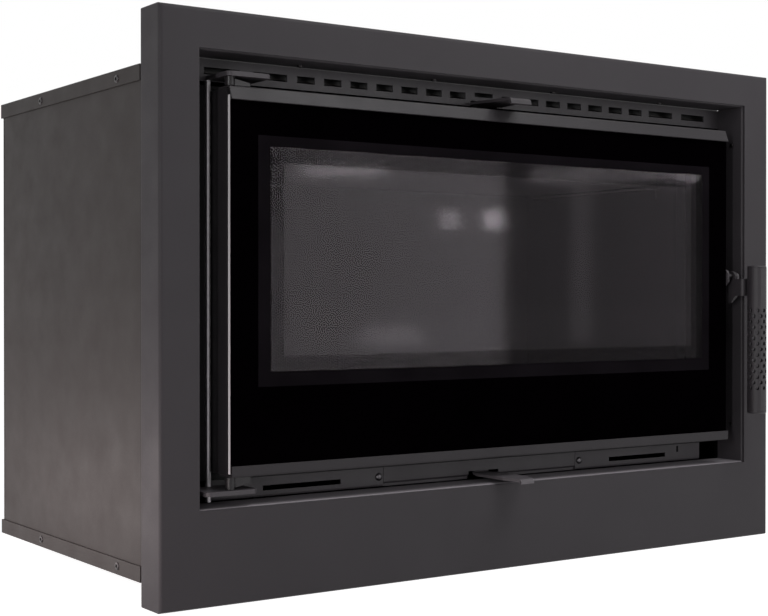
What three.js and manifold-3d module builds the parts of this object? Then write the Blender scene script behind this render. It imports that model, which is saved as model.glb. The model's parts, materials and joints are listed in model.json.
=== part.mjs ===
// Fireplace insert: a steel firebox in a sheet casing, with a deep surround frame, a glazed door on two
// pins, a pull handle with a hook latch, and two air shutters worked by levers.
//
// Millimetres. While it is modelled, x is 0 at the middle of the width, y is 0 at the front face of the
// surround and grows towards the back, and z is 0 at the bottom edge of the surround. The last lines move
// the whole insert so that the origin is the middle of the casing's underside.

import * as THREE from 'three';
import { mergeVertices } from 'three/addons/utils/BufferGeometryUtils.js';
import Module from 'manifold-3d';

const wasm = await Module();
wasm.setup();

// ---------------------------------------------------------------- Driving dimensions

// Gaps
const SEAT_GAP = 0.3; // between pieces that bear on each other
const RUN_GAP = 0.5; // round pins and beside sliding pieces
const CUT_MARGIN = 5; // that a cutting tool reaches past what it cuts
const JOIN_OVERLAP = 1; // that joined solids share

// Surround frame
const SURROUND_WIDTH = 805;
const SURROUND_HEIGHT = 550;
const SURROUND_DEPTH = 41;
const SURROUND_SHEET = 2.5;
const SURROUND_FOLD_RADIUS = 2.2;
const STILE_WIDTH = 40;
const TOP_RAIL_HEIGHT = 37;
const BOTTOM_RAIL_HEIGHT = 89;
const WALL_LIP_WIDTH = 12;

// Recess liner
const LINER_SHEET = 1.5;
const LINER_REVEAL = 1.5; // how far the liner stands inside the opening of the surround
const LINER_FLANGE_WIDTH = 10;
const LINER_FOLD_RADIUS = 1.5;

// Casing, behind the surround
const CASING_DEPTH = 358.7;
const CASING_BOTTOM_Z = 22;
const CASING_TOP_DROP = 50; // from the surround's top edge
const CASING_SHEET = 1.2;
const CASING_LIP_HEIGHT = 15;
const CASING_FLANGE_WIDTH = 14;
const REAR_OVERHANG = 2.5;
const REAR_RIB_WIDTH = 26;
const REAR_RIB_DEPTH = 4;
const REAR_RIB_PITCH = 190;

// Upper vent grille: drops are from the top of the recess
const VENT_SHEET = 1.5;
const GRILLE_BOTTOM_DROP = 22.2;
const GRILLE_STEP_DROP = 1.5;
const GRILLE_STEP_HEIGHT = 2;
const GRILLE_STEP_DEPTH = 3;
const GRILLE_BOX_RISE = 4; // above the top of the recess
const GRILLE_BOX_DEPTH = 16.5;
const VENT_SLOT_HEIGHT = 7;
const VENT_SLOT_DROP = 12.3;
const VENT_SLOT_WIDTH = 20.6;
const VENT_SLOT_PITCH = 31.4;
const VENT_FIRST_SLOT_X = 35;
const VENT_LONG_SLOT_WIDTH = 38;
const VENT_LONG_SLOT_SIDE_GAP = 43.7; // from the recess's side to the middle of the outer long slot
const VENT_LONG_SLOT_PITCH = 53.3;
const VENT_LONG_SLOTS_A_SIDE = 2;
const VENT_LEAST_BAR = 9; // between the short slots and the long ones
const VENT_MIDDLE_SLOT_WIDTH = 24.5;
const VENT_MIDDLE_SLOT_HEIGHT = 4.8;
const VENT_MIDDLE_SLOT_DROP = 9.9;

// Lower vent strips: rises are from the bottom of the recess
const STRIP_HEIGHT = 21;
const STRIP_FLANGE_WIDTH = 12;
const STRIP_SIDE_GAP = 31.5; // from the recess's side to the strip's end
const STRIP_SLOT_LENGTH = 90;
const STRIP_SLOT_HEIGHT = 5;
const STRIP_SLOT_END_GAP = 102; // from the strip's end to the slot's middle
const STRIP_SLOT_RISE = 9.5;
const STRIP_PIN_SLOT_END_GAP = 36.9;
const STRIP_PIN_SLOT_WIDTH = 3;
const STRIP_PIN_SLOT_HEIGHT = 7;
const STRIP_PIN_SLOT_DROP = 5.8; // from the strip's top edge
const REGULATOR_HALF_LENGTH = 130.5;
const REGULATOR_STEP_RISE = 5;
const REGULATOR_STEP_DEPTH = 2.2;
const STRIP_SCREW_END_GAP = 6.1; // from the regulator plate's end
const STRIP_SCREW_RISE = 11.1;
const STRIP_SCREW_HEAD_RADIUS = 3.9;
const STRIP_SCREW_HEAD_HEIGHT = 2.145;
const STRIP_SCREW_SHANK_RADIUS = 2;
const STRIP_SCREW_LENGTH = 9;

// Firebox: drops are from the top of the recess, margins from the door's edges
const FRONT_FRAME_THICKNESS = 4;
const FRONT_FRAME_TOP_DROP = 26.2;
const MOUTH_SIDE_MARGIN = 40.75;
const MOUTH_BOTTOM_MARGIN = 28;
const MOUTH_TOP_MARGIN = 29.3;
const FIREBOX_PLATE = 4;
const FIREBOX_SIDE_GAP = 27; // from the recess's side in to the firebox's side
const FIREBOX_BACK_GAP = 40; // from the firebox's back to the casing's
const FIREBOX_TOP_DROP = 33.5;
const FLUE_RADIUS = 75;
const FLUE_WALL = 3;
const FLUE_SETBACK = 179; // from the firebox's front
const FLUE_RISE = 60; // above the casing
const FLUE_FLANGE_WIDTH = 16;
const FLUE_HOLE_GAP = 2;

// Inside the firebox: setbacks are from the firebox's front
const LINING_THICKNESS = 25;
const LINING_TOP_DROP = 70; // from the firebox's ceiling
const SLAB_THICKNESS = 25;
const SLAB_SETBACK = 45;
const BAFFLE_THICKNESS = 20;
const BAFFLE_SETBACK = 71;
const BAFFLE_SHIELD_SHEET = 3;
const BAFFLE_SHIELD_HEIGHT = 9;
const BAFFLE_SHIELD_SIDE_GAP = 45;
const BAFFLE_SHIELD_FRONT_GAP = 18; // behind the baffle's front edge
const BAFFLE_SHIELD_BACK_GAP = 25.7;
const RAIL_LEG = 18;
const RAIL_SHEET = 3;
const RAIL_BACK_GAP = 15.7;
const GUARD_SIDE_GAP = 22.7; // from the side lining
const GUARD_THICKNESS = 8;
const GUARD_HEIGHT = 46;
const GUARD_FRONT_GAP = 2; // behind the slabs' front edge
const GUARD_SLOT_LENGTH = 70;
const GUARD_SLOT_HEIGHT = 9;
const GUARD_SLOT_RISE = 25.76; // to the slots' middle
const GUARD_SLOT_PITCH = 92;
const GUARD_END_MARGIN = 12; // least length of solid guard outside the slots
const DEFLECTOR_SHEET = 2;
const DEFLECTOR_SETBACK = 49;
const DEFLECTOR_FLANGE_WIDTH = 12;
const DEFLECTOR_LIP_SETBACK = 11;
const DEFLECTOR_DROP = 27;
const DEFLECTOR_HEM = 6; // of upright sheet above the mouth's top edge
const BEARER_SIDE_GAP = 84; // from the firebox's side
const BEARER_FLANGE = 34;
const BEARER_SHEET = 3;
const BEARER_SETBACK = 55;
const BEARER_BACK_GAP = 14;

// Door: side, bottom and top gaps are from the recess
const DOOR_SIDE_GAP = 30.25;
const DOOR_BOTTOM_GAP = 27.5;
const DOOR_TOP_GAP = 30.2;
const DOOR_BACK_GAP = 3.7; // from the firebox's front
const DOOR_SHEET = 2.5;
const DOOR_RAIL_WIDTH = 30;
const SEAL_GROOVE_EDGE = 10; // from the door's edge to the groove
const SEAL_GROOVE_WIDTH = 9.5;
const SEAL_GROOVE_DEPTH = 7.5;
const SEAL_BEVEL = 2.67;
const GLASS_THICKNESS = 4;
const GLASS_TOP_DROP = 8.8;
const GLASS_BOTTOM_RISE = 3;
const GLASS_TAPE_INSET = 4;
const GLASS_TAPE_THICKNESS = 1.7;
const GLASS_TAPE_WIDTH = 16;
const TRIM_SHEET = 1.5;
const TRIM_STAND_OFF = 3.7; // in front of the glass
const TRIM_FLANGE_DEPTH = 22;
const TOP_TRIM_HEIGHT = 13.1;
const TOP_TRIM_SETBACK = 4.7;
const BOTTOM_TRIM_HEIGHT = 10.5;

// Door hinge: lengths of the plates are from the pin's axis
const HINGE_SIDE_INSET = 2.25;
const HINGE_Y = 5;
const HINGE_PIN_RADIUS = 2.6;
const KNUCKLE_WALL = 1.55;
const KNUCKLE_TAB_LENGTH = 15.5;
const KNUCKLE_TAB_DEPTH = 12;
const KNUCKLE_TAB_SLOPE = 3;
const KNUCKLE_TAB_CLEARANCE = 2;
const HINGE_PLATE_THICKNESS = 4.2;
const HINGE_PLATE_FRONT = 7.8;
const TOP_PLATE_RISE = 8.6; // above the door
const TOP_PLATE_LEFT = 5.8;
const TOP_PLATE_RIGHT = 41;
const BOTTOM_PLATE_DROP = 16; // below the door
const BOTTOM_PLATE_LEFT = 28;
const BOTTOM_PLATE_RIGHT = 26.2;
const HINGE_PLATE_CHAMFER = 4;
const PLATE_CORNER_RADIUS = 5.5;
const POST_OFFSET = 5.2; // from the pin's axis to the post's middle
const POST_WIDTH = 4.7;
const POST_DEPTH = 5;
const POST_EDGE_RADIUS = 1.8;

// Latch and handle: rises and drops are from the pivot
const PIVOT_Y = 3;
const PIVOT_ABOVE_DOOR_BOTTOM = 191.5;
const PIVOT_RADIUS = 2.6;
const PIVOT_COLLAR_RADIUS = 3.8;
const PIVOT_HEAD_RADIUS = 5.5;
const PIVOT_HEAD_LENGTH = 3.6;
const LATCH_BRACKET_SHEET = 3;
const LATCH_BRACKET_FRONT_Y = -2.5;
const LATCH_BRACKET_BACK_GAP = 6.3; // from the door's back
const LATCH_BRACKET_RISE = 8.5;
const LATCH_BRACKET_DROP = 20.5;
const LATCH_BRACKET_NOSE_RADIUS = 5.8;
const LEVER_SIDE_GAP = 8.55; // from the bracket to the flat bar
const BAR_THICKNESS = 4;
const BAR_TOP_DROP = 2.5;
const BAR_HEIGHT = 20;
const BAR_FOLD_RADIUS = 4.5;
const LEVER_LUG_RADIUS = 6.6;
const KEEPER_PIN_STAND_OFF = 10; // in front of the body
const KEEPER_DROP = 18.5; // to the keeper pin
const KEEPER_PIN_RADIUS = 3;
const HOOK_GAP = 0.65;
const HOOK_TIP_THICKNESS = 2.8;
const HOOK_TIP_ANGLE = 24;
const HOOK_FLOOR_ANGLE = 41;
const HOOK_HEEL_ANGLE = 50;
const HOOK_THROAT_ANGLE = 12;
const HOOK_HEEL_FRONT = 7; // in front of the pivot
const HOOK_HEEL_BACK = 1; // behind it
const LEVER_LUG_END_ANGLE = 20; // below the pivot's level
const KEEPER_SHEET = 3;
const KEEPER_SIDE_GAP = 3;
const KEEPER_EAR_DEPTH = 14.7;
const KEEPER_EAR_DROP = 25.5;
const KEEPER_BASE_DROP = 12;
const KEEPER_RISE = 3.5;
const GRIP_OFFSET = 11; // from the flat bar's left face to the grip's axis
const GRIP_RADIUS = 11;
const GRIP_WALL = 2;
const GRIP_BACK_Y = -16;
const GRIP_RISE = 12.5;
const GRIP_LENGTH = 172.3;
const GRIP_CAP_THICKNESS = 2;
const GRIP_CAP_PLUG = 6;
const PERFORATION_RADIUS = 2.4;
const PERFORATION_ROWS = 15;
const PERFORATIONS_A_ROW = 8;
const PERFORATION_ROW_PITCH = 6.45;
const PERFORATION_FIRST_RISE = 29.8; // from the grip's lower end

// Air shutters
const SHUTTER_SHEET = 2.5;
const SHUTTER_SETBACK = 11;
const SHUTTER_DEPTH = 28;
const SHUTTER_GUIDE_HEIGHT = 5;
const SHUTTER_GUIDE_WIDTH = 12;
const SHUTTER_GUIDE_SHEET = 1.5;
const PORT_DEPTH = 14;
const SECONDARY_PORTS = 11;
const SECONDARY_PORT_PITCH = 31.4;
const SECONDARY_PORT_WIDTH = 14;
const SECONDARY_END_LENGTH = 31.4; // from the last port's middle to the shutter's end
const SECONDARY_GUIDE_PLACE = 0.85; // of the shutter's half length
const SECONDARY_OPEN_TRAVEL = 7.85;
const SECONDARY_CLOSE_TRAVEL = 7.85;
const SECONDARY_NECK_WIDTH = 18;
const SECONDARY_SHOULDER_WIDTH = 44;
const SECONDARY_TIP_WIDTH = 27;
const SECONDARY_TIP_Y = -19;
const SECONDARY_LIP = 5.5;
const PRIMARY_PORTS = 7;
const PRIMARY_PORT_PITCH = 40;
const PRIMARY_PORT_WIDTH = 17;
const PRIMARY_END_LENGTH = 30; // from the last port's middle to the shutter's end
const PRIMARY_GUIDE_PLACE = 0.8; // of the shutter's half length
const PRIMARY_OPEN_TRAVEL = 7.7;
const PRIMARY_CLOSE_TRAVEL = 11.3;
const PRIMARY_BLADE_RISE = 3.9; // above the bottom of the recess
const PRIMARY_NECK_WIDTH = 20;
const PRIMARY_SHOULDER_WIDTH = 30.5;
const PRIMARY_TAPER_Y = -8;
const PRIMARY_TIP_WIDTH = 17;
const PRIMARY_TIP_Y = -28;
const PRIMARY_LIP = 4;
const LEVER_SHEET = 2.8;
const LEVER_BEND_RADIUS = 3;
const LEVER_LIP_SLOPE = 0.35; // of its reach to its drop
const LEVER_RISE_SETBACK = 8;
const LEVER_SHOULDER_GAP = 3; // in front of the slot
const LEVER_SHOULDER_CHAMFER = 2;
const LEVER_END_GAP = 1; // beside the neck, at either end of its travel
const LEVER_HEAD_GAP = 2.6; // above the blade

// Facets
const ARC_STEPS = 6; // on a quarter of a small arc
const ROUND_STEPS = 32; // round a full circle

// ---------------------------------------------------------------- Derived places

const BODY_Y = SURROUND_DEPTH; // the plane at the back of the recess, where the firebox's front lies
const BODY_SEAT_Y = BODY_Y - SEAT_GAP;
const CASING_FRONT_Y = SURROUND_DEPTH + SEAT_GAP;
const CASING_BACK_Y = CASING_FRONT_Y + CASING_DEPTH;
const CASING_TOP_Z = SURROUND_HEIGHT - CASING_TOP_DROP;
const CASING_HALF_WIDTH = SURROUND_WIDTH / 2;
const SURROUND_OUTER = rectangle(-SURROUND_WIDTH / 2, SURROUND_WIDTH / 2, 0, SURROUND_HEIGHT);
const SURROUND_OPENING = rectangle(
  -SURROUND_WIDTH / 2 + STILE_WIDTH,
  SURROUND_WIDTH / 2 - STILE_WIDTH,
  BOTTOM_RAIL_HEIGHT,
  SURROUND_HEIGHT - TOP_RAIL_HEIGHT,
);
const RECESS = inset(SURROUND_OPENING, LINER_REVEAL);

const DOOR = rectangle(
  RECESS.x0 + DOOR_SIDE_GAP,
  RECESS.x1 - DOOR_SIDE_GAP,
  RECESS.z0 + DOOR_BOTTOM_GAP,
  RECESS.z1 - DOOR_TOP_GAP,
);
const DOOR_FRAME = rectangle(
  DOOR.x0,
  DOOR.x1,
  DOOR.z0 + TRIM_SHEET + SEAT_GAP,
  DOOR.z1 - TRIM_SHEET - SEAT_GAP,
);
const GLASS = rectangle(DOOR.x0, DOOR.x1, DOOR.z0 + GLASS_BOTTOM_RISE, DOOR.z1 - GLASS_TOP_DROP);
const DOOR_FACE_Y = GLASS_THICKNESS + GLASS_TAPE_THICKNESS + 2 * SEAT_GAP;
const DOOR_BACK_Y = BODY_Y - DOOR_BACK_GAP;
const TRIM_FRONT_Y = -TRIM_STAND_OFF;

const GRILLE_BOTTOM_Z = RECESS.z1 - GRILLE_BOTTOM_DROP;
const FRONT_FRAME_BOTTOM_Z = RECESS.z0 + STRIP_HEIGHT;
const STRIP_BOTTOM_Z = RECESS.z0 + 2 * RUN_GAP;
const STRIP_TOP_Z = FRONT_FRAME_BOTTOM_Z - SEAT_GAP;
const STRIP_END_X = RECESS.x1 - STRIP_SIDE_GAP;
const STRIP_SCREW_X = REGULATOR_HALF_LENGTH + STRIP_SCREW_END_GAP;
const STRIP_SCREW_Z = RECESS.z0 + STRIP_SCREW_RISE;
const MOUTH = rectangle(
  DOOR.x0 + MOUTH_SIDE_MARGIN,
  DOOR.x1 - MOUTH_SIDE_MARGIN,
  DOOR.z0 + MOUTH_BOTTOM_MARGIN,
  DOOR.z1 - MOUTH_TOP_MARGIN,
);

const FIREBOX_HALF_WIDTH = RECESS.x1 - FIREBOX_SIDE_GAP;
const FIREBOX_TOP_Z = RECESS.z1 - FIREBOX_TOP_DROP;
const FIREBOX_BACK_Y = CASING_BACK_Y - FIREBOX_BACK_GAP;
const FLOOR_Z = FRONT_FRAME_BOTTOM_Z;
const FIREBOX_FRONT_Y = BODY_Y + FRONT_FRAME_THICKNESS + SEAT_GAP;
const FIREBOX_INNER_X = FIREBOX_HALF_WIDTH - FIREBOX_PLATE;
const FIREBOX_INNER_BACK_Y = FIREBOX_BACK_Y - FIREBOX_PLATE;
const FIREBOX_CEILING_Z = FIREBOX_TOP_Z - FIREBOX_PLATE;
const FLUE_Y = BODY_Y + FLUE_SETBACK;
const FLUE_RIM_Z = CASING_TOP_Z + FLUE_RISE;
const SLAB_Z = FLOOR_Z + FIREBOX_PLATE + SEAT_GAP;
const SLAB_FRONT_Y = BODY_Y + SLAB_SETBACK;
const LINING_Z = SLAB_Z + SLAB_THICKNESS + SEAT_GAP;
const LINING_TOP_Z = FIREBOX_CEILING_Z - LINING_TOP_DROP;
const LINING_INNER_X = FIREBOX_INNER_X - SEAT_GAP - LINING_THICKNESS;
const BAFFLE_FRONT_Y = BODY_Y + BAFFLE_SETBACK;

const HINGE_X = DOOR.x0 + HINGE_SIDE_INSET;
const PLATE_BORE_RADIUS = HINGE_PIN_RADIUS + SEAT_GAP;
const KNUCKLE_BORE_RADIUS = HINGE_PIN_RADIUS + RUN_GAP;
const KNUCKLE_RADIUS = KNUCKLE_BORE_RADIUS + KNUCKLE_WALL;
const TOP_PLATE_Z = DOOR.z1 + TOP_PLATE_RISE;
const BOTTOM_PLATE_Z = DOOR.z0 - BOTTOM_PLATE_DROP;
const PIVOT_Z = DOOR.z0 + PIVOT_ABOVE_DOOR_BOTTOM;

const SHUTTER_FRONT_Y = BODY_Y + SHUTTER_SETBACK;
const SHUTTER_BACK_Y = SHUTTER_FRONT_Y + SHUTTER_DEPTH;
const PORT_FRONT_Y = SHUTTER_FRONT_Y + (SHUTTER_DEPTH - PORT_DEPTH) / 2;
const SECONDARY_BLADE_Z = GRILLE_BOTTOM_Z + SEAT_GAP;
const PRIMARY_BLADE_Z = RECESS.z0 + PRIMARY_BLADE_RISE;

// ---------------------------------------------------------------- Materials

function finish(name, color, roughness, metalness) {
  return new THREE.MeshStandardMaterial({ name, color, roughness, metalness });
}

const GRAPHITE = finish('graphite_paint', 0x454446, 0.55, 0.2);
const CASING_GREY = finish('casing_paint', 0x554f4c, 0.5, 0.3);
const RECESS_BLACK = finish('recess_paint', 0x1d1c1e, 0.6, 0.1);
const VENT_GREY = finish('vent_paint', 0x3a393b, 0.55, 0.2);
const FIREBOX_STEEL = finish('firebox_paint', 0x1c1b1b, 0.75, 0.3);
const DOOR_BLACK = finish('door_paint', 0x242326, 0.5, 0.2);
const GLASS_DARK = finish('ceramic_glass', 0x1a1a1a, 0.08, 0.0);
const ROPE_GREY = finish('rope_seal', 0x8d8a84, 0.95, 0.0);
const REFRACTORY = finish('refractory', 0xb7a887, 0.95, 0.0);
const CAST_IRON = finish('cast_iron', 0x2b2a29, 0.7, 0.5);
const HARDWARE = finish('hardware_steel', 0x6d6c6e, 0.35, 0.9);
const HANDLE_BLACK = finish('handle_paint', 0x38373a, 0.45, 0.3);

// ---------------------------------------------------------------- Geometry helpers

function rectangle(x0, x1, z0, z1) {
  return { x0, x1, z0, z1 };
}

function inset(rect, distance) {
  return rectangle(rect.x0 + distance, rect.x1 - distance, rect.z0 + distance, rect.z1 - distance);
}

function point(x, y) {
  return new THREE.Vector2(x, y);
}

// A solid for joining and cutting.
function toSolid(geometry) {
  const bare = geometry.clone();
  bare.deleteAttribute('normal');
  bare.deleteAttribute('uv');
  const merged = mergeVertices(bare);
  return new wasm.Manifold(
    new wasm.Mesh({
      numProp: 3,
      vertProperties: Float32Array.from(merged.attributes.position.array),
      triVerts: Uint32Array.from(merged.index.array),
    }),
  );
}

function toGeometry(solid) {
  const mesh = solid.getMesh();
  const geometry = new THREE.BufferGeometry();
  geometry.setAttribute('position', new THREE.BufferAttribute(mesh.vertProperties, 3));
  geometry.setIndex(new THREE.BufferAttribute(mesh.triVerts, 1));
  const faceted = geometry.toNonIndexed();
  faceted.computeVertexNormals();
  return faceted;
}

function cut(geometry, ...tools) {
  let solid = toSolid(geometry);
  for (const tool of tools) solid = solid.subtract(toSolid(tool));
  return toGeometry(solid);
}

function join(first, ...others) {
  let solid = toSolid(first);
  for (const other of others) solid = solid.add(toSolid(other));
  return toGeometry(solid);
}

function common(first, second) {
  return toGeometry(toSolid(first).intersect(toSolid(second)));
}

function block(x0, x1, y0, y1, z0, z1) {
  const geometry = new THREE.BoxGeometry(x1 - x0, y1 - y0, z1 - z0);
  geometry.translate((x0 + x1) / 2, (y0 + y1) / 2, (z0 + z1) / 2);
  return geometry;
}

function extruded(shape, depth) {
  return new THREE.ExtrudeGeometry(shape, { depth, bevelEnabled: false, curveSegments: ROUND_STEPS / 2 });
}

// A shape drawn in (x, z) and extruded along y.
function plateXZ(shape, y0, y1) {
  const geometry = extruded(shape, y1 - y0);
  geometry.rotateX(Math.PI / 2);
  geometry.translate(0, y1, 0);
  return geometry;
}

// A shape drawn in (x, y) and extruded along z.
function plateXY(shape, z0, z1) {
  const geometry = extruded(shape, z1 - z0);
  geometry.translate(0, 0, z0);
  return geometry;
}

// A shape drawn in (y, z) and extruded along x.
function plateYZ(shape, x0, x1) {
  const geometry = extruded(shape, x1 - x0);
  const cycle = new THREE.Matrix4().makeBasis(
    new THREE.Vector3(0, 1, 0),
    new THREE.Vector3(0, 0, 1),
    new THREE.Vector3(1, 0, 0),
  );
  geometry.applyMatrix4(cycle);
  geometry.translate(x0, 0, 0);
  return geometry;
}

function roundBar(radius, x, y, z0, z1, steps = ROUND_STEPS) {
  const geometry = new THREE.CylinderGeometry(radius, radius, z1 - z0, steps);
  geometry.rotateX(Math.PI / 2);
  geometry.translate(x, y, (z0 + z1) / 2);
  return geometry;
}

// A body turned round a vertical axis, from a closed (radius, z) profile.
function turned(profile, x, y) {
  const geometry = new THREE.LatheGeometry([...profile, profile[0]], ROUND_STEPS);
  geometry.rotateX(Math.PI / 2);
  geometry.translate(x, y, 0);
  return geometry;
}

// Points on an arc about a centre, with angles in degrees.
function arc(centre, radius, fromDegrees, toDegrees, steps = ARC_STEPS) {
  const points = [];
  for (let i = 0; i <= steps; i += 1) {
    const angle = THREE.MathUtils.degToRad(fromDegrees + ((toDegrees - fromDegrees) * i) / steps);
    points.push(point(centre.x + radius * Math.cos(angle), centre.y + radius * Math.sin(angle)));
  }
  return points;
}

// The path with its inner corners rounded, as a press brake leaves them.
function rounded(path, radius, steps = 3) {
  const result = [path[0]];
  for (let i = 1; i < path.length - 1; i += 1) {
    const back = path[i - 1].clone().sub(path[i]).normalize();
    const ahead = path[i + 1].clone().sub(path[i]).normalize();
    const half = back.angleTo(ahead) / 2;
    const reach = Math.min(
      radius / Math.tan(half),
      path[i].distanceTo(path[i - 1]) * 0.45,
      path[i].distanceTo(path[i + 1]) * 0.45,
    );
    const curve = new THREE.QuadraticBezierCurve(
      path[i].clone().addScaledVector(back, reach),
      path[i],
      path[i].clone().addScaledVector(ahead, reach),
    );
    result.push(...curve.getPoints(steps));
  }
  result.push(path[path.length - 1]);
  return result;
}

// The closed outline of a folded sheet whose middle line is the path.
function sheetOutline(path, thickness) {
  const offsetPoint = (i, side) => {
    const before = path[Math.max(i - 1, 0)];
    const after = path[Math.min(i + 1, path.length - 1)];
    const into = path[i].clone().sub(before);
    const out = after.clone().sub(path[i]);
    if (i === 0) into.copy(out);
    if (i === path.length - 1) out.copy(into);
    const normalIn = point(-into.y, into.x).normalize();
    const normalOut = point(-out.y, out.x).normalize();
    const mitre = normalIn.clone().add(normalOut).normalize();
    const length = thickness / 2 / mitre.dot(normalIn);
    return path[i].clone().addScaledVector(mitre, side * length);
  };
  const left = path.map((_, i) => offsetPoint(i, 1));
  const right = path.map((_, i) => offsetPoint(i, -1)).reverse();
  return [...left, ...right];
}

// A rectangular ring: every point (u, y) of the closed outline becomes the rectangle rectangleAt(u) at
// depth y, and neighbouring rectangles are joined, so the corners are mitred.
function ring(outline, rectangleAt) {
  const positions = [];
  const corners = outline.map(({ x: u, y }) => {
    const rect = rectangleAt(u);
    return [
      [rect.x0, y, rect.z0],
      [rect.x1, y, rect.z0],
      [rect.x1, y, rect.z1],
      [rect.x0, y, rect.z1],
    ];
  });
  const clockwise = THREE.ShapeUtils.area(outline) < 0;
  for (let i = 0; i < corners.length; i += 1) {
    const j = (i + 1) % corners.length;
    for (let k = 0; k < 4; k += 1) {
      const next = (k + 1) % 4;
      const quad = [corners[i][k], corners[j][k], corners[j][next], corners[i][next]];
      if (!clockwise) quad.reverse();
      positions.push(...quad[0], ...quad[1], ...quad[2], ...quad[0], ...quad[2], ...quad[3]);
    }
  }
  const geometry = new THREE.BufferGeometry();
  geometry.setAttribute('position', new THREE.Float32BufferAttribute(positions, 3));
  geometry.computeVertexNormals();
  return geometry;
}

function rectangleShape(x0, x1, z0, z1) {
  return new THREE.Shape([point(x0, z0), point(x1, z0), point(x1, z1), point(x0, z1)]);
}

function mirrored(geometry) {
  const copy = geometry.clone();
  copy.scale(-1, 1, 1);
  const index = copy.index ? copy.toNonIndexed() : copy;
  const array = index.attributes.position.array;
  for (let i = 0; i < array.length; i += 9) {
    for (let k = 0; k < 3; k += 1) {
      const kept = array[i + 3 + k];
      array[i + 3 + k] = array[i + 6 + k];
      array[i + 6 + k] = kept;
    }
  }
  index.computeVertexNormals();
  return index;
}

// ---------------------------------------------------------------- The insert

const insert = new THREE.Group();
const casing = new THREE.Group();
const door = new THREE.Group();
const handle = new THREE.Group();
const secondaryAir = new THREE.Group();
const primaryAir = new THREE.Group();
insert.add(casing, door, handle, secondaryAir, primaryAir);

function add(group, name, geometry, material) {
  const mesh = new THREE.Mesh(geometry, material);
  mesh.name = name;
  group.add(mesh);
}

// ---------------------------------------------------------------- Surround and liner

function surroundFrame() {
  const skin = SURROUND_SHEET / 2;
  const path = rounded(
    [
      point(WALL_LIP_WIDTH, SURROUND_DEPTH - skin),
      point(skin, SURROUND_DEPTH - skin),
      point(skin, skin),
      point(STILE_WIDTH, skin),
    ],
    SURROUND_FOLD_RADIUS,
  );
  const rectangleAt = (u) =>
    u < STILE_WIDTH / 2 ? inset(SURROUND_OUTER, u) : inset(SURROUND_OPENING, u - STILE_WIDTH);
  return ring(sheetOutline(path, SURROUND_SHEET), rectangleAt);
}

function recessLiner() {
  const skin = LINER_SHEET / 2;
  const path = rounded(
    [
      point(-LINER_FLANGE_WIDTH, SURROUND_SHEET + SEAT_GAP + skin),
      point(-skin, SURROUND_SHEET + SEAT_GAP + skin),
      point(-skin, BODY_SEAT_Y),
    ],
    LINER_FOLD_RADIUS,
  );
  return ring(sheetOutline(path, LINER_SHEET), (u) => inset(RECESS, u));
}

add(casing, 'surround_frame', surroundFrame(), GRAPHITE);
add(casing, 'recess_liner', recessLiner(), RECESS_BLACK);

// ---------------------------------------------------------------- Casing

const LIP_SPACE = CASING_SHEET + SEAT_GAP; // from a lip's outer face to the panel inside it
const REAR_LIP_Y = CASING_BACK_Y;
const REAR_PANEL_Y = REAR_LIP_Y - REAR_OVERHANG - CASING_SHEET; // its outer face

// A shallow tray: a flat sheet with its left, right and rear edges folded towards the inside.
function tray(sheetZ0, lipZ) {
  const low = Math.min(sheetZ0, lipZ);
  const high = Math.max(sheetZ0 + CASING_SHEET, lipZ);
  const outer = block(-CASING_HALF_WIDTH, CASING_HALF_WIDTH, CASING_FRONT_Y, REAR_LIP_Y, low, high);
  const inner = CASING_HALF_WIDTH - CASING_SHEET;
  const opensUp = lipZ > sheetZ0;
  const hollow = block(
    -inner,
    inner,
    CASING_FRONT_Y - CUT_MARGIN,
    REAR_LIP_Y - CASING_SHEET,
    opensUp ? sheetZ0 + CASING_SHEET : low - CUT_MARGIN,
    opensUp ? high + CUT_MARGIN : sheetZ0,
  );
  return cut(outer, hollow);
}

// The cover's front edge is cut back so that the grille's slots open into the casing.
function topCover() {
  const body = tray(CASING_TOP_Z - CASING_SHEET, CASING_TOP_Z - CASING_LIP_HEIGHT);
  const holeRadius = FLUE_RADIUS + FLUE_WALL + FLUE_HOLE_GAP;
  const frontNotch = block(
    RECESS.x0 - LINER_SHEET - RUN_GAP,
    RECESS.x1 + LINER_SHEET + RUN_GAP,
    CASING_FRONT_Y - CUT_MARGIN,
    BODY_Y + GRILLE_BOX_DEPTH - 2 * VENT_SHEET - RUN_GAP,
    CASING_TOP_Z - CUT_MARGIN,
    CASING_TOP_Z + CUT_MARGIN,
  );
  const flueHole = roundBar(holeRadius, 0, FLUE_Y, CASING_TOP_Z - CUT_MARGIN, CASING_TOP_Z + CUT_MARGIN);
  return cut(body, flueHole, frontNotch);
}

// A side of the casing: a flat panel with a flange at the front and one at the back.
function sidePanel() {
  const skin = CASING_SHEET / 2;
  const x = -CASING_HALF_WIDTH + LIP_SPACE + skin;
  const frontY = CASING_FRONT_Y + skin;
  const backY = REAR_PANEL_Y - CASING_SHEET - SEAT_GAP - skin;
  const path = rounded(
    [
      point(x + CASING_FLANGE_WIDTH, frontY),
      point(x, frontY),
      point(x, backY),
      point(x + CASING_FLANGE_WIDTH, backY),
    ],
    CASING_SHEET,
  );
  const shape = new THREE.Shape(sheetOutline(path, CASING_SHEET));
  const panelTop = CASING_TOP_Z - CASING_SHEET - SEAT_GAP;
  return plateXY(shape, CASING_BOTTOM_Z + CASING_SHEET + SEAT_GAP, panelTop);
}

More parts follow.
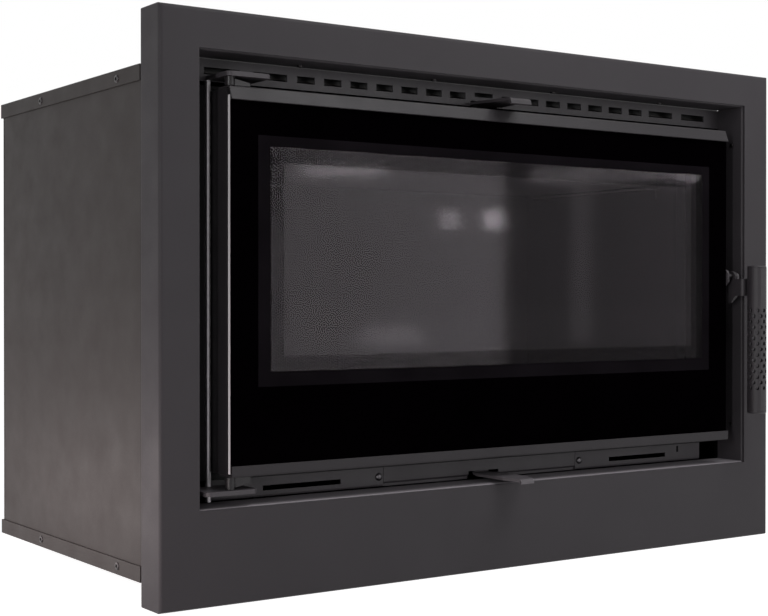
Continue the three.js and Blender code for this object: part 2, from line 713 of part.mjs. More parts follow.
// The rear panel has upright pressed ribs that stiffen it.
function rearPanel() {
  const y = REAR_PANEL_Y - CASING_SHEET / 2;
  const edge = CASING_HALF_WIDTH - LIP_SPACE;
  const path = [point(-edge, y)];
  for (let i = -1; i <= 1; i += 1) {
    const x = i * REAR_RIB_PITCH;
    path.push(point(x - REAR_RIB_WIDTH / 2, y));
    path.push(point(x - REAR_RIB_WIDTH / 4, y - REAR_RIB_DEPTH));
    path.push(point(x + REAR_RIB_WIDTH / 4, y - REAR_RIB_DEPTH));
    path.push(point(x + REAR_RIB_WIDTH / 2, y));
  }
  path.push(point(edge, y));
  const shape = new THREE.Shape(sheetOutline(path, CASING_SHEET));
  const panelTop = CASING_TOP_Z - CASING_SHEET - SEAT_GAP;
  return plateXY(shape, CASING_BOTTOM_Z + CASING_SHEET + SEAT_GAP, panelTop);
}

add(casing, 'side_panel_left', sidePanel(), CASING_GREY);
add(casing, 'side_panel_right', mirrored(sidePanel()), CASING_GREY);
add(casing, 'rear_panel', rearPanel(), CASING_GREY);
add(casing, 'top_cover', topCover(), CASING_GREY);
add(casing, 'bottom_tray', tray(CASING_BOTTOM_Z, CASING_BOTTOM_Z + CASING_LIP_HEIGHT), CASING_GREY);

// ---------------------------------------------------------------- Vents at the back of the recess

const VENT_TOOL_FRONT = BODY_Y - CUT_MARGIN;
const VENT_TOOL_BACK = BODY_Y + VENT_SHEET + CUT_MARGIN;
const SECONDARY_TRAVEL = SECONDARY_OPEN_TRAVEL + SECONDARY_CLOSE_TRAVEL;
const PRIMARY_TRAVEL = PRIMARY_OPEN_TRAVEL + PRIMARY_CLOSE_TRAVEL;

function ventHole(x, z, width, height) {
  return block(x - width / 2, x + width / 2, VENT_TOOL_FRONT, VENT_TOOL_BACK, z - height / 2, z + height / 2);
}

// A folded strip of sheet, extruded along x.
function foldedStrip(path, thickness, x0, x1) {
  return plateYZ(new THREE.Shape(sheetOutline(path, thickness)), x0, x1);
}

// The slot for a lever's neck: as high as its blade and as wide as its travel, open at the plate's edge.
function leverNotch(neck, travel, bladeZ, edgeZ) {
  const half = neck / 2 + travel / 2 + LEVER_END_GAP;
  const top = bladeZ + LEVER_SHEET + LEVER_HEAD_GAP;
  return block(-half, half, VENT_TOOL_FRONT, VENT_TOOL_BACK, edgeZ - CUT_MARGIN, top);
}

// The grille's upright web steps back behind the liner's edge and is folded into a box that stands on the
// top cover, so the slots lead into the casing and nothing shows through them.
function topVentGrille() {
  const skin = VENT_SHEET / 2;
  const webY = BODY_Y + skin;
  const stepZ = RECESS.z1 - GRILLE_STEP_DROP;
  const top = RECESS.z1 + GRILLE_BOX_RISE - skin;
  const legY = BODY_Y + GRILLE_BOX_DEPTH - skin;
  const path = [
    point(webY, GRILLE_BOTTOM_Z),
    point(webY, stepZ),
    point(webY + GRILLE_STEP_DEPTH, stepZ + GRILLE_STEP_HEIGHT),
    ...rounded(
      [
        point(webY + GRILLE_STEP_DEPTH, top - VENT_SHEET),
        point(webY + GRILLE_STEP_DEPTH, top),
        point(legY, top),
        point(legY, CASING_TOP_Z + SEAT_GAP),
      ],
      VENT_SHEET,
      2,
    ),
  ];
  const strip = foldedStrip(path, VENT_SHEET, RECESS.x0 - LINER_SHEET, RECESS.x1 + LINER_SHEET);
  const middleZ = RECESS.z1 - VENT_MIDDLE_SLOT_DROP;
  const slotZ = RECESS.z1 - VENT_SLOT_DROP;
  const outerLongX = RECESS.x1 - VENT_LONG_SLOT_SIDE_GAP;
  const innerLongX = outerLongX - (VENT_LONG_SLOTS_A_SIDE - 1) * VENT_LONG_SLOT_PITCH;
  const lastShortX = innerLongX - VENT_LONG_SLOT_WIDTH / 2 - VENT_LEAST_BAR - VENT_SLOT_WIDTH / 2;
  const holes = [
    ventHole(0, middleZ, VENT_MIDDLE_SLOT_WIDTH, VENT_MIDDLE_SLOT_HEIGHT),
    leverNotch(SECONDARY_NECK_WIDTH, SECONDARY_TRAVEL, SECONDARY_BLADE_Z, GRILLE_BOTTOM_Z),
  ];
  for (const side of [-1, 1]) {
    for (let x = VENT_FIRST_SLOT_X; x <= lastShortX; x += VENT_SLOT_PITCH) {
      holes.push(ventHole(side * x, slotZ, VENT_SLOT_WIDTH, VENT_SLOT_HEIGHT));
    }
    for (let i = 0; i < VENT_LONG_SLOTS_A_SIDE; i += 1) {
      const x = innerLongX + i * VENT_LONG_SLOT_PITCH;
      holes.push(ventHole(side * x, slotZ, VENT_LONG_SLOT_WIDTH, VENT_SLOT_HEIGHT));
    }
  }
  return cut(strip, ...holes);
}

// The lower strips: an upright web with its lower edge folded back.
function bottomVent(extraHoles) {
  const skin = VENT_SHEET / 2;
  const path = rounded(
    [
      point(BODY_Y + STRIP_FLANGE_WIDTH, STRIP_BOTTOM_Z + skin),
      point(BODY_Y + skin, STRIP_BOTTOM_Z + skin),
      point(BODY_Y + skin, STRIP_TOP_Z),
    ],
    VENT_SHEET,
  );
  const strip = foldedStrip(path, VENT_SHEET, REGULATOR_HALF_LENGTH + RUN_GAP, STRIP_END_X);
  const screwHole = new THREE.CylinderGeometry(
    STRIP_SCREW_SHANK_RADIUS + SEAT_GAP,
    STRIP_SCREW_SHANK_RADIUS + SEAT_GAP,
    2 * (VENT_SHEET + CUT_MARGIN),
    ROUND_STEPS / 2,
  );
  screwHole.translate(STRIP_SCREW_X, BODY_Y, STRIP_SCREW_Z);
  const slot = ventHole(
    STRIP_END_X - STRIP_SLOT_END_GAP,
    RECESS.z0 + STRIP_SLOT_RISE,
    STRIP_SLOT_LENGTH,
    STRIP_SLOT_HEIGHT,
  );
  return cut(strip, screwHole, slot, ...extraHoles);
}

// The middle plate has a joggled lower edge and a notch for the lever's neck.
function regulatorPlate() {
  const skin = VENT_SHEET / 2;
  const stepZ = RECESS.z0 + REGULATOR_STEP_RISE;
  const path = [
    point(BODY_Y + skin, STRIP_TOP_Z),
    point(BODY_Y + skin, stepZ + REGULATOR_STEP_DEPTH / 2),
    point(BODY_Y + skin + REGULATOR_STEP_DEPTH, stepZ - REGULATOR_STEP_DEPTH / 2),
    point(BODY_Y + skin + REGULATOR_STEP_DEPTH, STRIP_BOTTOM_Z),
  ];
  const plate = foldedStrip(path, VENT_SHEET, -REGULATOR_HALF_LENGTH, REGULATOR_HALF_LENGTH);
  return cut(plate, leverNotch(PRIMARY_NECK_WIDTH, PRIMARY_TRAVEL, PRIMARY_BLADE_Z, STRIP_BOTTOM_Z));
}

// A pan screw: a domed head in front of the strip and a shank through it, pointing back.
function stripScrew(x) {
  const headY = BODY_Y - SEAT_GAP;
  const dome = new THREE.QuadraticBezierCurve(
    point(STRIP_SCREW_HEAD_RADIUS, 0),
    point(STRIP_SCREW_HEAD_RADIUS, STRIP_SCREW_HEAD_HEIGHT),
    point(0, STRIP_SCREW_HEAD_HEIGHT),
  );
  const profile = [
    point(0, -STRIP_SCREW_LENGTH),
    point(STRIP_SCREW_SHANK_RADIUS, -STRIP_SCREW_LENGTH),
    point(STRIP_SCREW_SHANK_RADIUS, 0),
    ...dome.getPoints(4),
  ];
  const geometry = new THREE.LatheGeometry(profile, ROUND_STEPS / 2);
  geometry.rotateX(Math.PI);
  geometry.translate(x, headY, STRIP_SCREW_Z);
  return geometry;
}

const pinSlot = ventHole(
  STRIP_END_X - STRIP_PIN_SLOT_END_GAP,
  STRIP_TOP_Z - STRIP_PIN_SLOT_DROP,
  STRIP_PIN_SLOT_WIDTH,
  STRIP_PIN_SLOT_HEIGHT,
);
add(casing, 'top_vent_grille', topVentGrille(), VENT_GREY);
add(casing, 'bottom_vent_left', mirrored(bottomVent([])), VENT_GREY);
add(casing, 'bottom_vent_right', bottomVent([pinSlot]), VENT_GREY);
add(casing, 'regulator_plate', regulatorPlate(), VENT_GREY);
add(casing, 'strip_screw_left', stripScrew(-STRIP_SCREW_X), HARDWARE);
add(casing, 'strip_screw_right', stripScrew(STRIP_SCREW_X), HARDWARE);

// ---------------------------------------------------------------- Firebox shell

function fireboxFrontFrame() {
  const shape = rectangleShape(
    RECESS.x0 - LINER_SHEET,
    RECESS.x1 + LINER_SHEET,
    FRONT_FRAME_BOTTOM_Z,
    RECESS.z1 - FRONT_FRAME_TOP_DROP,
  );
  shape.holes.push(rectangleShape(MOUTH.x0, MOUTH.x1, MOUTH.z0, MOUTH.z1));
  return plateXZ(shape, BODY_Y, BODY_Y + FRONT_FRAME_THICKNESS);
}

// Ports in a row along x, all through the plate, for a shutter to cover.
function ports(count, pitch, width, offset, z0, z1) {
  const tools = [];
  for (let i = 0; i < count; i += 1) {
    const x = (i - (count - 1) / 2) * pitch + offset;
    tools.push(block(x - width / 2, x + width / 2, PORT_FRONT_Y, PORT_FRONT_Y + PORT_DEPTH, z0, z1));
  }
  return tools;
}

// Four small blocks that keep a shutter in line as it slides, on the side z0..z1 of its plate.
function shutterGuides(halfLength, z0, z1) {
  const guides = [];
  for (const side of [-1, 1]) {
    const x = side * halfLength;
    const x0 = x - SHUTTER_GUIDE_WIDTH / 2;
    const x1 = x + SHUTTER_GUIDE_WIDTH / 2;
    const frontY = SHUTTER_FRONT_Y - RUN_GAP;
    const backY = SHUTTER_BACK_Y + RUN_GAP;
    guides.push(block(x0, x1, frontY - SHUTTER_GUIDE_SHEET, frontY, z0, z1));
    guides.push(block(x0, x1, backY, backY + SHUTTER_GUIDE_SHEET, z0, z1));
  }
  return guides;
}

const SECONDARY_HALF_LENGTH = ((SECONDARY_PORTS - 1) / 2) * SECONDARY_PORT_PITCH + SECONDARY_END_LENGTH;
const PRIMARY_HALF_LENGTH = ((PRIMARY_PORTS - 1) / 2) * PRIMARY_PORT_PITCH + PRIMARY_END_LENGTH;
const SECONDARY_SHUTTER_Z = FIREBOX_TOP_Z + SEAT_GAP;
const PRIMARY_SHUTTER_Z = FLOOR_Z - SEAT_GAP - SHUTTER_SHEET;

function fireboxFloor() {
  const plate = block(
    -FIREBOX_HALF_WIDTH,
    FIREBOX_HALF_WIDTH,
    FIREBOX_FRONT_Y,
    FIREBOX_INNER_BACK_Y,
    FLOOR_Z,
    FLOOR_Z + FIREBOX_PLATE,
  );
  const guideX = PRIMARY_HALF_LENGTH * PRIMARY_GUIDE_PLACE;
  const guideBottom = PRIMARY_SHUTTER_Z - SEAT_GAP - SHUTTER_GUIDE_SHEET;
  const guides = shutterGuides(guideX, guideBottom, FLOOR_Z + JOIN_OVERLAP);
  for (const side of [-1, 1]) {
    const x0 = side * guideX - SHUTTER_GUIDE_WIDTH / 2;
    const y0 = SHUTTER_FRONT_Y - RUN_GAP - SHUTTER_GUIDE_SHEET;
    const y1 = SHUTTER_BACK_Y + RUN_GAP + SHUTTER_GUIDE_SHEET;
    const barTop = guideBottom + SHUTTER_GUIDE_SHEET;
    guides.push(block(x0, x0 + SHUTTER_GUIDE_WIDTH, y0, y1, guideBottom, barTop));
  }
  const holes = ports(
    PRIMARY_PORTS,
    PRIMARY_PORT_PITCH,
    PRIMARY_PORT_WIDTH,
    0,
    FLOOR_Z - CUT_MARGIN,
    SLAB_Z + CUT_MARGIN,
  );
  return cut(join(plate, ...guides), ...holes);
}

function fireboxSide() {
  return block(
    -FIREBOX_HALF_WIDTH,
    -FIREBOX_INNER_X,
    FIREBOX_FRONT_Y,
    FIREBOX_INNER_BACK_Y,
    FLOOR_Z + FIREBOX_PLATE + SEAT_GAP,
    FIREBOX_CEILING_Z - SEAT_GAP,
  );
}

function fireboxBack() {
  return block(
    -FIREBOX_HALF_WIDTH,
    FIREBOX_HALF_WIDTH,
    FIREBOX_INNER_BACK_Y + SEAT_GAP,
    FIREBOX_BACK_Y + SEAT_GAP,
    FLOOR_Z,
    FIREBOX_TOP_Z,
  );
}

function fireboxTop() {
  const plate = block(
    -FIREBOX_HALF_WIDTH,
    FIREBOX_HALF_WIDTH,
    FIREBOX_FRONT_Y,
    FIREBOX_INNER_BACK_Y,
    FIREBOX_CEILING_Z,
    FIREBOX_TOP_Z,
  );
  const guides = shutterGuides(
    SECONDARY_HALF_LENGTH * SECONDARY_GUIDE_PLACE,
    FIREBOX_TOP_Z - JOIN_OVERLAP,
    FIREBOX_TOP_Z + SHUTTER_GUIDE_HEIGHT,
  );
  const low = FIREBOX_CEILING_Z - CUT_MARGIN;
  const high = FIREBOX_TOP_Z + CUT_MARGIN;
  const flueHole = roundBar(FLUE_RADIUS, 0, FLUE_Y, low, high);
  const airPorts = ports(SECONDARY_PORTS, SECONDARY_PORT_PITCH, SECONDARY_PORT_WIDTH, 0, low, high);
  return cut(join(plate, ...guides), flueHole, ...airPorts);
}

// The collar is a short spigot with a flange that sits on the firebox.
function flueCollar() {
  const base = FIREBOX_TOP_Z + SEAT_GAP;
  const flangeRadius = FLUE_RADIUS + FLUE_WALL + FLUE_FLANGE_WIDTH;
  const profile = [
    point(FLUE_RADIUS, base),
    point(flangeRadius, base),
    point(flangeRadius, base + FLUE_WALL),
    point(FLUE_RADIUS + FLUE_WALL, base + FLUE_WALL),
    point(FLUE_RADIUS + FLUE_WALL, FLUE_RIM_Z),
    point(FLUE_RADIUS, FLUE_RIM_Z),
  ];
  return turned(profile, 0, FLUE_Y);
}

add(casing, 'firebox_front_frame', fireboxFrontFrame(), RECESS_BLACK);
add(casing, 'firebox_floor', fireboxFloor(), FIREBOX_STEEL);
add(casing, 'firebox_side_left', fireboxSide(), FIREBOX_STEEL);
add(casing, 'firebox_side_right', mirrored(fireboxSide()), FIREBOX_STEEL);
add(casing, 'firebox_back', fireboxBack(), FIREBOX_STEEL);
add(casing, 'firebox_top', fireboxTop(), FIREBOX_STEEL);
add(casing, 'flue_collar', flueCollar(), FIREBOX_STEEL);

// A folded Z that carries the firebox in the tray.
function baseBearer() {
  const skin = BEARER_SHEET / 2;
  const bottom = CASING_BOTTOM_Z + CASING_SHEET + SEAT_GAP + skin;
  const top = FLOOR_Z - SEAT_GAP - skin;
  const x = -FIREBOX_HALF_WIDTH + BEARER_SIDE_GAP;
  const path = rounded(
    [
      point(x - BEARER_FLANGE, bottom),
      point(x, bottom),
      point(x, top),
      point(x + BEARER_FLANGE, top),
    ],
    BEARER_SHEET,
  );
  const shape = new THREE.Shape(sheetOutline(path, BEARER_SHEET));
  return plateXZ(shape, BODY_Y + BEARER_SETBACK, FIREBOX_BACK_Y - BEARER_BACK_GAP);
}

add(casing, 'base_bearer_left', baseBearer(), FIREBOX_STEEL);
add(casing, 'base_bearer_right', mirrored(baseBearer()), FIREBOX_STEEL);

// ---------------------------------------------------------------- Inside the firebox

const INSIDE_BACK_Y = FIREBOX_INNER_BACK_Y - SEAT_GAP;
const LINING_BACK_FACE_Y = INSIDE_BACK_Y - LINING_THICKNESS;

function sideLining() {
  return block(
    -LINING_INNER_X - LINING_THICKNESS,
    -LINING_INNER_X,
    FIREBOX_FRONT_Y + SEAT_GAP,
    INSIDE_BACK_Y,
    LINING_Z,
    LINING_TOP_Z,
  );
}

function backLining() {
  return block(
    -LINING_INNER_X + SEAT_GAP,
    -SEAT_GAP / 2,
    LINING_BACK_FACE_Y,
    INSIDE_BACK_Y,
    LINING_Z,
    LINING_TOP_Z,
  );
}

function hearthSlab(index) {
  const width = (2 * (FIREBOX_INNER_X - SEAT_GAP)) / 3;
  const x0 = -1.5 * width + index * width;
  return block(
    x0 + SEAT_GAP / 2,
    x0 + width - SEAT_GAP / 2,
    SLAB_FRONT_Y,
    INSIDE_BACK_Y,
    SLAB_Z,
    SLAB_Z + SLAB_THICKNESS,
  );
}

const RAIL_Z = LINING_TOP_Z + SEAT_GAP;
const BAFFLE_Z = RAIL_Z + RAIL_LEG + SEAT_GAP;

// An angle on the firebox's side that the baffle rests on.
function baffleRail() {
  const skin = RAIL_SHEET / 2;
  const x = -FIREBOX_INNER_X + SEAT_GAP + skin;
  const top = RAIL_Z + RAIL_LEG - skin;
  const path = rounded([point(x, RAIL_Z), point(x, top), point(x + RAIL_LEG, top)], RAIL_SHEET);
  const shape = new THREE.Shape(sheetOutline(path, RAIL_SHEET));
  return plateXZ(shape, BAFFLE_FRONT_Y, INSIDE_BACK_Y - RAIL_BACK_GAP);
}

function baffleLower() {
  const half = FIREBOX_INNER_X - 4 * RUN_GAP;
  return block(-half, half, BAFFLE_FRONT_Y, INSIDE_BACK_Y, BAFFLE_Z, BAFFLE_Z + BAFFLE_THICKNESS);
}

// A steel shield on short folded legs that lies on the baffle under the flue.
function baffleUpper() {
  const skin = BAFFLE_SHIELD_SHEET / 2;
  const bottom = BAFFLE_Z + BAFFLE_THICKNESS + SEAT_GAP;
  const top = bottom + BAFFLE_SHIELD_HEIGHT - skin;
  const half = FIREBOX_INNER_X - BAFFLE_SHIELD_SIDE_GAP;
  const path = rounded(
    [point(-half, bottom), point(-half, top), point(half, top), point(half, bottom)],
    BAFFLE_SHIELD_SHEET,
  );
  const shape = new THREE.Shape(sheetOutline(path, BAFFLE_SHIELD_SHEET));
  const frontY = BAFFLE_FRONT_Y + BAFFLE_SHIELD_FRONT_GAP;
  return plateXZ(shape, frontY, INSIDE_BACK_Y - BAFFLE_SHIELD_BACK_GAP);
}

// The log guard is a low cast fence with round shoulders and a row of round-ended slots.
function logGuard() {
  const z0 = LINING_Z;
  const z1 = z0 + GUARD_HEIGHT;
  const half = LINING_INNER_X - GUARD_SIDE_GAP;
  const shoulder = GUARD_HEIGHT / 2;
  const outline = [
    point(-half, z0),
    point(half, z0),
    ...arc(point(half - shoulder, z1 - shoulder), shoulder, 0, 90),
    ...arc(point(-half + shoulder, z1 - shoulder), shoulder, 90, 180),
  ];
  const shape = new THREE.Shape(outline);
  const slotZ = z0 + GUARD_SLOT_RISE;
  const reach = (GUARD_SLOT_LENGTH - GUARD_SLOT_HEIGHT) / 2;
  const slotSpan = 2 * (half - GUARD_END_MARGIN) - GUARD_SLOT_LENGTH;
  const slots = 1 + Math.floor(slotSpan / GUARD_SLOT_PITCH);
  for (let i = 0; i < slots; i += 1) {
    const x = (i - (slots - 1) / 2) * GUARD_SLOT_PITCH;
    const slot = [
      ...arc(point(x + reach, slotZ), GUARD_SLOT_HEIGHT / 2, -90, 90, 5),
      ...arc(point(x - reach, slotZ), GUARD_SLOT_HEIGHT / 2, 90, 270, 5),
    ];
    shape.holes.push(new THREE.Path(slot));
  }
  const frontY = SLAB_FRONT_Y + GUARD_FRONT_GAP;
  return plateXZ(shape, frontY, frontY + GUARD_THICKNESS);
}

// The deflector leads air from the upper ports down to the inside of the glass.
function airWashDeflector() {
  const skin = DEFLECTOR_SHEET / 2;
  const top = FIREBOX_CEILING_Z - SEAT_GAP - skin;
  const webY = BODY_Y + DEFLECTOR_SETBACK;
  const path = rounded(
    [
      point(webY + DEFLECTOR_FLANGE_WIDTH, top),
      point(webY, top),
      point(webY, MOUTH.z1 + DEFLECTOR_HEM),
      point(BODY_Y + DEFLECTOR_LIP_SETBACK, top - DEFLECTOR_DROP),
    ],
    DEFLECTOR_SHEET,
  );
  const half = FIREBOX_INNER_X - 4 * RUN_GAP;
  return foldedStrip(path, DEFLECTOR_SHEET, -half, half);
}

add(casing, 'lining_left', sideLining(), REFRACTORY);
add(casing, 'lining_right', mirrored(sideLining()), REFRACTORY);
add(casing, 'lining_back_left', backLining(), REFRACTORY);
add(casing, 'lining_back_right', mirrored(backLining()), REFRACTORY);
['left', 'centre', 'right'].forEach((side, index) => {
  add(casing, `hearth_slab_${side}`, hearthSlab(index), REFRACTORY);
});
add(casing, 'baffle_rail_left', baffleRail(), FIREBOX_STEEL);
add(casing, 'baffle_rail_right', mirrored(baffleRail()), FIREBOX_STEEL);
add(casing, 'baffle_lower', baffleLower(), REFRACTORY);
add(casing, 'baffle_upper', baffleUpper(), FIREBOX_STEEL);
add(casing, 'log_guard', logGuard(), CAST_IRON);
add(casing, 'air_wash_deflector', airWashDeflector(), FIREBOX_STEEL);

// ---------------------------------------------------------------- Hinge on the casing

const POST_X = HINGE_X - POST_OFFSET;
const POST_FRONT_Y = BODY_SEAT_Y - POST_DEPTH;

// A slim upright bar with a rounded front edge, beside the door, that carries the hinge plates.
function hingePost() {
  const half = POST_WIDTH / 2;
  const radius = POST_EDGE_RADIUS;
  const outline = [
    ...arc(point(POST_X - half + radius, POST_FRONT_Y + radius), radius, 180, 270, 4),
    ...arc(point(POST_X + half - radius, POST_FRONT_Y + radius), radius, 270, 360, 4),
    point(POST_X + half, BODY_SEAT_Y),
    point(POST_X - half, BODY_SEAT_Y),
  ];
  return plateXY(new THREE.Shape(outline), STRIP_BOTTOM_Z, TOP_PLATE_Z - SEAT_GAP);
}

// A flat plate from the body's front out to the pin, with a round corner at the pin, a chamfer at the
// right and a bore for the pin.
function hingePlate(left, right, z) {
  const corner = PLATE_CORNER_RADIUS;
  const leftX = HINGE_X - left;
  const rightX = HINGE_X + right;
  const frontY = HINGE_Y - HINGE_PLATE_FRONT;
  const outline = [
    ...arc(point(leftX + corner, frontY + corner), corner, 180, 270),
    point(rightX - HINGE_PLATE_CHAMFER, frontY),
    point(rightX, frontY + HINGE_PLATE_CHAMFER),
    point(rightX, BODY_SEAT_Y),
    point(leftX, BODY_SEAT_Y),
  ];
  const top = z + HINGE_PLATE_THICKNESS;
  const plate = plateXY(new THREE.Shape(outline), z, top);
  const steps = ROUND_STEPS / 2;
  return cut(plate, roundBar(PLATE_BORE_RADIUS, HINGE_X, HINGE_Y, z - CUT_MARGIN, top + CUT_MARGIN, steps));
}

// The lower plate reaches past the post, so it has a notch round it.
function hingePlateBottom() {
  const notch = block(
    POST_X - POST_WIDTH / 2 - SEAT_GAP,
    POST_X + POST_WIDTH / 2 + SEAT_GAP,
    POST_FRONT_Y - SEAT_GAP,
    BODY_Y,
    BOTTOM_PLATE_Z - CUT_MARGIN,
    BOTTOM_PLATE_Z + HINGE_PLATE_THICKNESS + CUT_MARGIN,
  );
  return cut(hingePlate(BOTTOM_PLATE_LEFT, BOTTOM_PLATE_RIGHT, BOTTOM_PLATE_Z), notch);
}

// A plain pin, pressed into the plate and flush with its outer face.
function hingePin(z0, z1) {
  return roundBar(HINGE_PIN_RADIUS, HINGE_X, HINGE_Y, z0, z1, ROUND_STEPS / 2);
}

const TOP_KNUCKLE_Z0 = DOOR.z1 + SEAT_GAP;
const TOP_KNUCKLE_Z1 = TOP_PLATE_Z - SEAT_GAP;
const BOTTOM_KNUCKLE_Z0 = BOTTOM_PLATE_Z + HINGE_PLATE_THICKNESS + SEAT_GAP;
const BOTTOM_KNUCKLE_Z1 = DOOR.z0 - SEAT_GAP;

add(casing, 'hinge_post', hingePost(), RECESS_BLACK);
add(casing, 'hinge_plate_top', hingePlate(TOP_PLATE_LEFT, TOP_PLATE_RIGHT, TOP_PLATE_Z), VENT_GREY);
add(casing, 'hinge_plate_bottom', hingePlateBottom(), VENT_GREY);
add(casing, 'hinge_pin_top', hingePin(TOP_KNUCKLE_Z0, TOP_PLATE_Z + HINGE_PLATE_THICKNESS), HARDWARE);
add(casing, 'hinge_pin_bottom', hingePin(BOTTOM_PLATE_Z, BOTTOM_KNUCKLE_Z1), HARDWARE);

// ---------------------------------------------------------------- Door

// The door frame is one folded section: a front flange behind the glass, the outer wall, and a back
// flange with a groove pressed into it for the rope seal.
function doorFrame() {
  const skin = DOOR_SHEET / 2;
  const front = DOOR_FACE_Y + skin;
  const back = DOOR_BACK_Y - skin;
  const grooveFloor = back - SEAL_GROOVE_DEPTH;
  const grooveNear = SEAL_GROOVE_EDGE - skin;
  const grooveFar = SEAL_GROOVE_EDGE + SEAL_GROOVE_WIDTH + skin;
  const path = [
    point(DOOR_RAIL_WIDTH, front),
    point(skin, front),
    point(skin, back),
    point(grooveNear, back),
    point(grooveNear, grooveFloor),
    point(grooveFar, grooveFloor),
    point(grooveFar, back),
    point(DOOR_RAIL_WIDTH, back),
  ];
  return ring(sheetOutline(path, DOOR_SHEET), (u) => inset(DOOR_FRAME, u));
}

// The rope seal is a ring of eight-sided section that stands out of its groove to the body's front.
function doorGasket() {
  const u0 = SEAL_GROOVE_EDGE + SEAT_GAP;
  const u1 = SEAL_GROOVE_EDGE + SEAL_GROOVE_WIDTH - SEAT_GAP;
  const y0 = DOOR_BACK_Y - SEAL_GROOVE_DEPTH + SEAT_GAP;
  const y1 = BODY_SEAT_Y;
  const outline = [
    point(u0 + SEAL_BEVEL, y0),
    point(u1 - SEAL_BEVEL, y0),
    point(u1, y0 + SEAL_BEVEL),
    point(u1, y1 - SEAL_BEVEL),
    point(u1 - SEAL_BEVEL, y1),
    point(u0 + SEAL_BEVEL, y1),
    point(u0, y1 - SEAL_BEVEL),
    point(u0, y0 + SEAL_BEVEL),
  ];
  return ring(outline, (u) => inset(DOOR_FRAME, u));
}

function glassTape() {
  const y0 = GLASS_THICKNESS + SEAT_GAP;
  const y1 = y0 + GLASS_TAPE_THICKNESS;
  const u0 = GLASS_TAPE_INSET;
  const u1 = u0 + GLASS_TAPE_WIDTH;
  return ring([point(u0, y0), point(u1, y0), point(u1, y1), point(u0, y1)], (u) => inset(GLASS, u));
}

function glassPane() {
  return block(GLASS.x0, GLASS.x1, 0, GLASS_THICKNESS, GLASS.z0, GLASS.z1);
}

// The upper trim leans back from its lower edge and folds over the top of the door frame.
function glassTrimTop() {
  const skin = TRIM_SHEET / 2;
  const top = DOOR.z1 - skin;
  const path = rounded(
    [
      point(TRIM_FRONT_Y + skin, DOOR.z1 - TOP_TRIM_HEIGHT),
      point(TRIM_FRONT_Y + skin + TOP_TRIM_SETBACK, top),
      point(TRIM_FLANGE_DEPTH, top),
    ],
    TRIM_SHEET,
  );
  return foldedStrip(path, TRIM_SHEET, DOOR.x0, DOOR.x1);
}

function glassTrimBottom() {
  const skin = TRIM_SHEET / 2;
  const bottom = DOOR.z0 + skin;
  const path = rounded(
    [
      point(TRIM_FRONT_Y + skin, DOOR.z0 + BOTTOM_TRIM_HEIGHT),
      point(TRIM_FRONT_Y + skin, bottom),
      point(TRIM_FLANGE_DEPTH, bottom),
    ],
    TRIM_SHEET,
  );
  return foldedStrip(path, TRIM_SHEET, DOOR.x0, DOOR.x1);
}

// A hinge knuckle: a short tube with a tab beside it that lies on the door. The tab's free end slopes.
function hingeKnuckle(z0, z1, seatsLow) {
  const inner = KNUCKLE_BORE_RADIUS;
  const tube = turned(
    [point(inner, z0), point(KNUCKLE_RADIUS, z0), point(KNUCKLE_RADIUS, z1), point(inner, z1)],
    HINGE_X,
    HINGE_Y,
  );
  const x0 = HINGE_X + (inner + KNUCKLE_RADIUS) / 2;
  const x1 = HINGE_X + KNUCKLE_RADIUS + KNUCKLE_TAB_LENGTH;
  const low = seatsLow ? z0 : z0 + KNUCKLE_TAB_CLEARANCE;
  const high = seatsLow ? z1 - KNUCKLE_TAB_CLEARANCE : z1;
  const lowEnd = seatsLow ? low : low + KNUCKLE_TAB_SLOPE;
  const highEnd = seatsLow ? high - KNUCKLE_TAB_SLOPE : high;
  const shape = new THREE.Shape([point(x0, low), point(x1, lowEnd), point(x1, highEnd), point(x0, high)]);
  const tabFront = HINGE_Y - inner;
  const tab = plateXZ(shape, tabFront, tabFront + KNUCKLE_TAB_DEPTH);
  return cut(join(tube, tab), roundBar(inner, HINGE_X, HINGE_Y, z0 - CUT_MARGIN, z1 + CUT_MARGIN));
}

add(door, 'door_frame', doorFrame(), DOOR_BLACK);
add(door, 'door_gasket', doorGasket(), ROPE_GREY);
add(door, 'glass_gasket', glassTape(), ROPE_GREY);
add(door, 'glass_pane', glassPane(), GLASS_DARK);
add(door, 'glass_trim_top', glassTrimTop(), VENT_GREY);
add(door, 'glass_trim_bottom', glassTrimBottom(), VENT_GREY);
add(door, 'hinge_knuckle_top', hingeKnuckle(TOP_KNUCKLE_Z0, TOP_KNUCKLE_Z1, true), HARDWARE);
add(door, 'hinge_knuckle_bottom', hingeKnuckle(BOTTOM_KNUCKLE_Z0, BOTTOM_KNUCKLE_Z1, false), HARDWARE);

// ---------------------------------------------------------------- Latch and handle

const BRACKET_X0 = DOOR.x1 + SEAT_GAP;
const BRACKET_X1 = BRACKET_X0 + LATCH_BRACKET_SHEET;
const LEVER_X = BRACKET_X1 + LEVER_SIDE_GAP;
const LEVER_X1 = LEVER_X + BAR_THICKNESS;
const BAR_TOP_Z = PIVOT_Z - BAR_TOP_DROP;
const KEEPER_PIN_Y = BODY_Y - KEEPER_PIN_STAND_OFF;
const KEEPER_PIN_Z = PIVOT_Z - KEEPER_DROP;
const GRIP_X = LEVER_X + GRIP_OFFSET;
const GRIP_TOP_Z = PIVOT_Z + GRIP_RISE;
const GRIP_BOTTOM_Z = GRIP_TOP_Z - GRIP_LENGTH;

function alongX(radius, y, z, x0, x1) {
  const geometry = new THREE.CylinderGeometry(radius, radius, x1 - x0, ROUND_STEPS / 2);
  geometry.rotateZ(Math.PI / 2);
  geometry.translate((x0 + x1) / 2, y, z);
  return geometry;
}

// A tool along x that cuts a round hole through a plate from x0 to x1.
function bore(radius, y, z, x0, x1) {
  return alongX(radius, y, z, x0 - CUT_MARGIN, x1 + CUT_MARGIN);
}

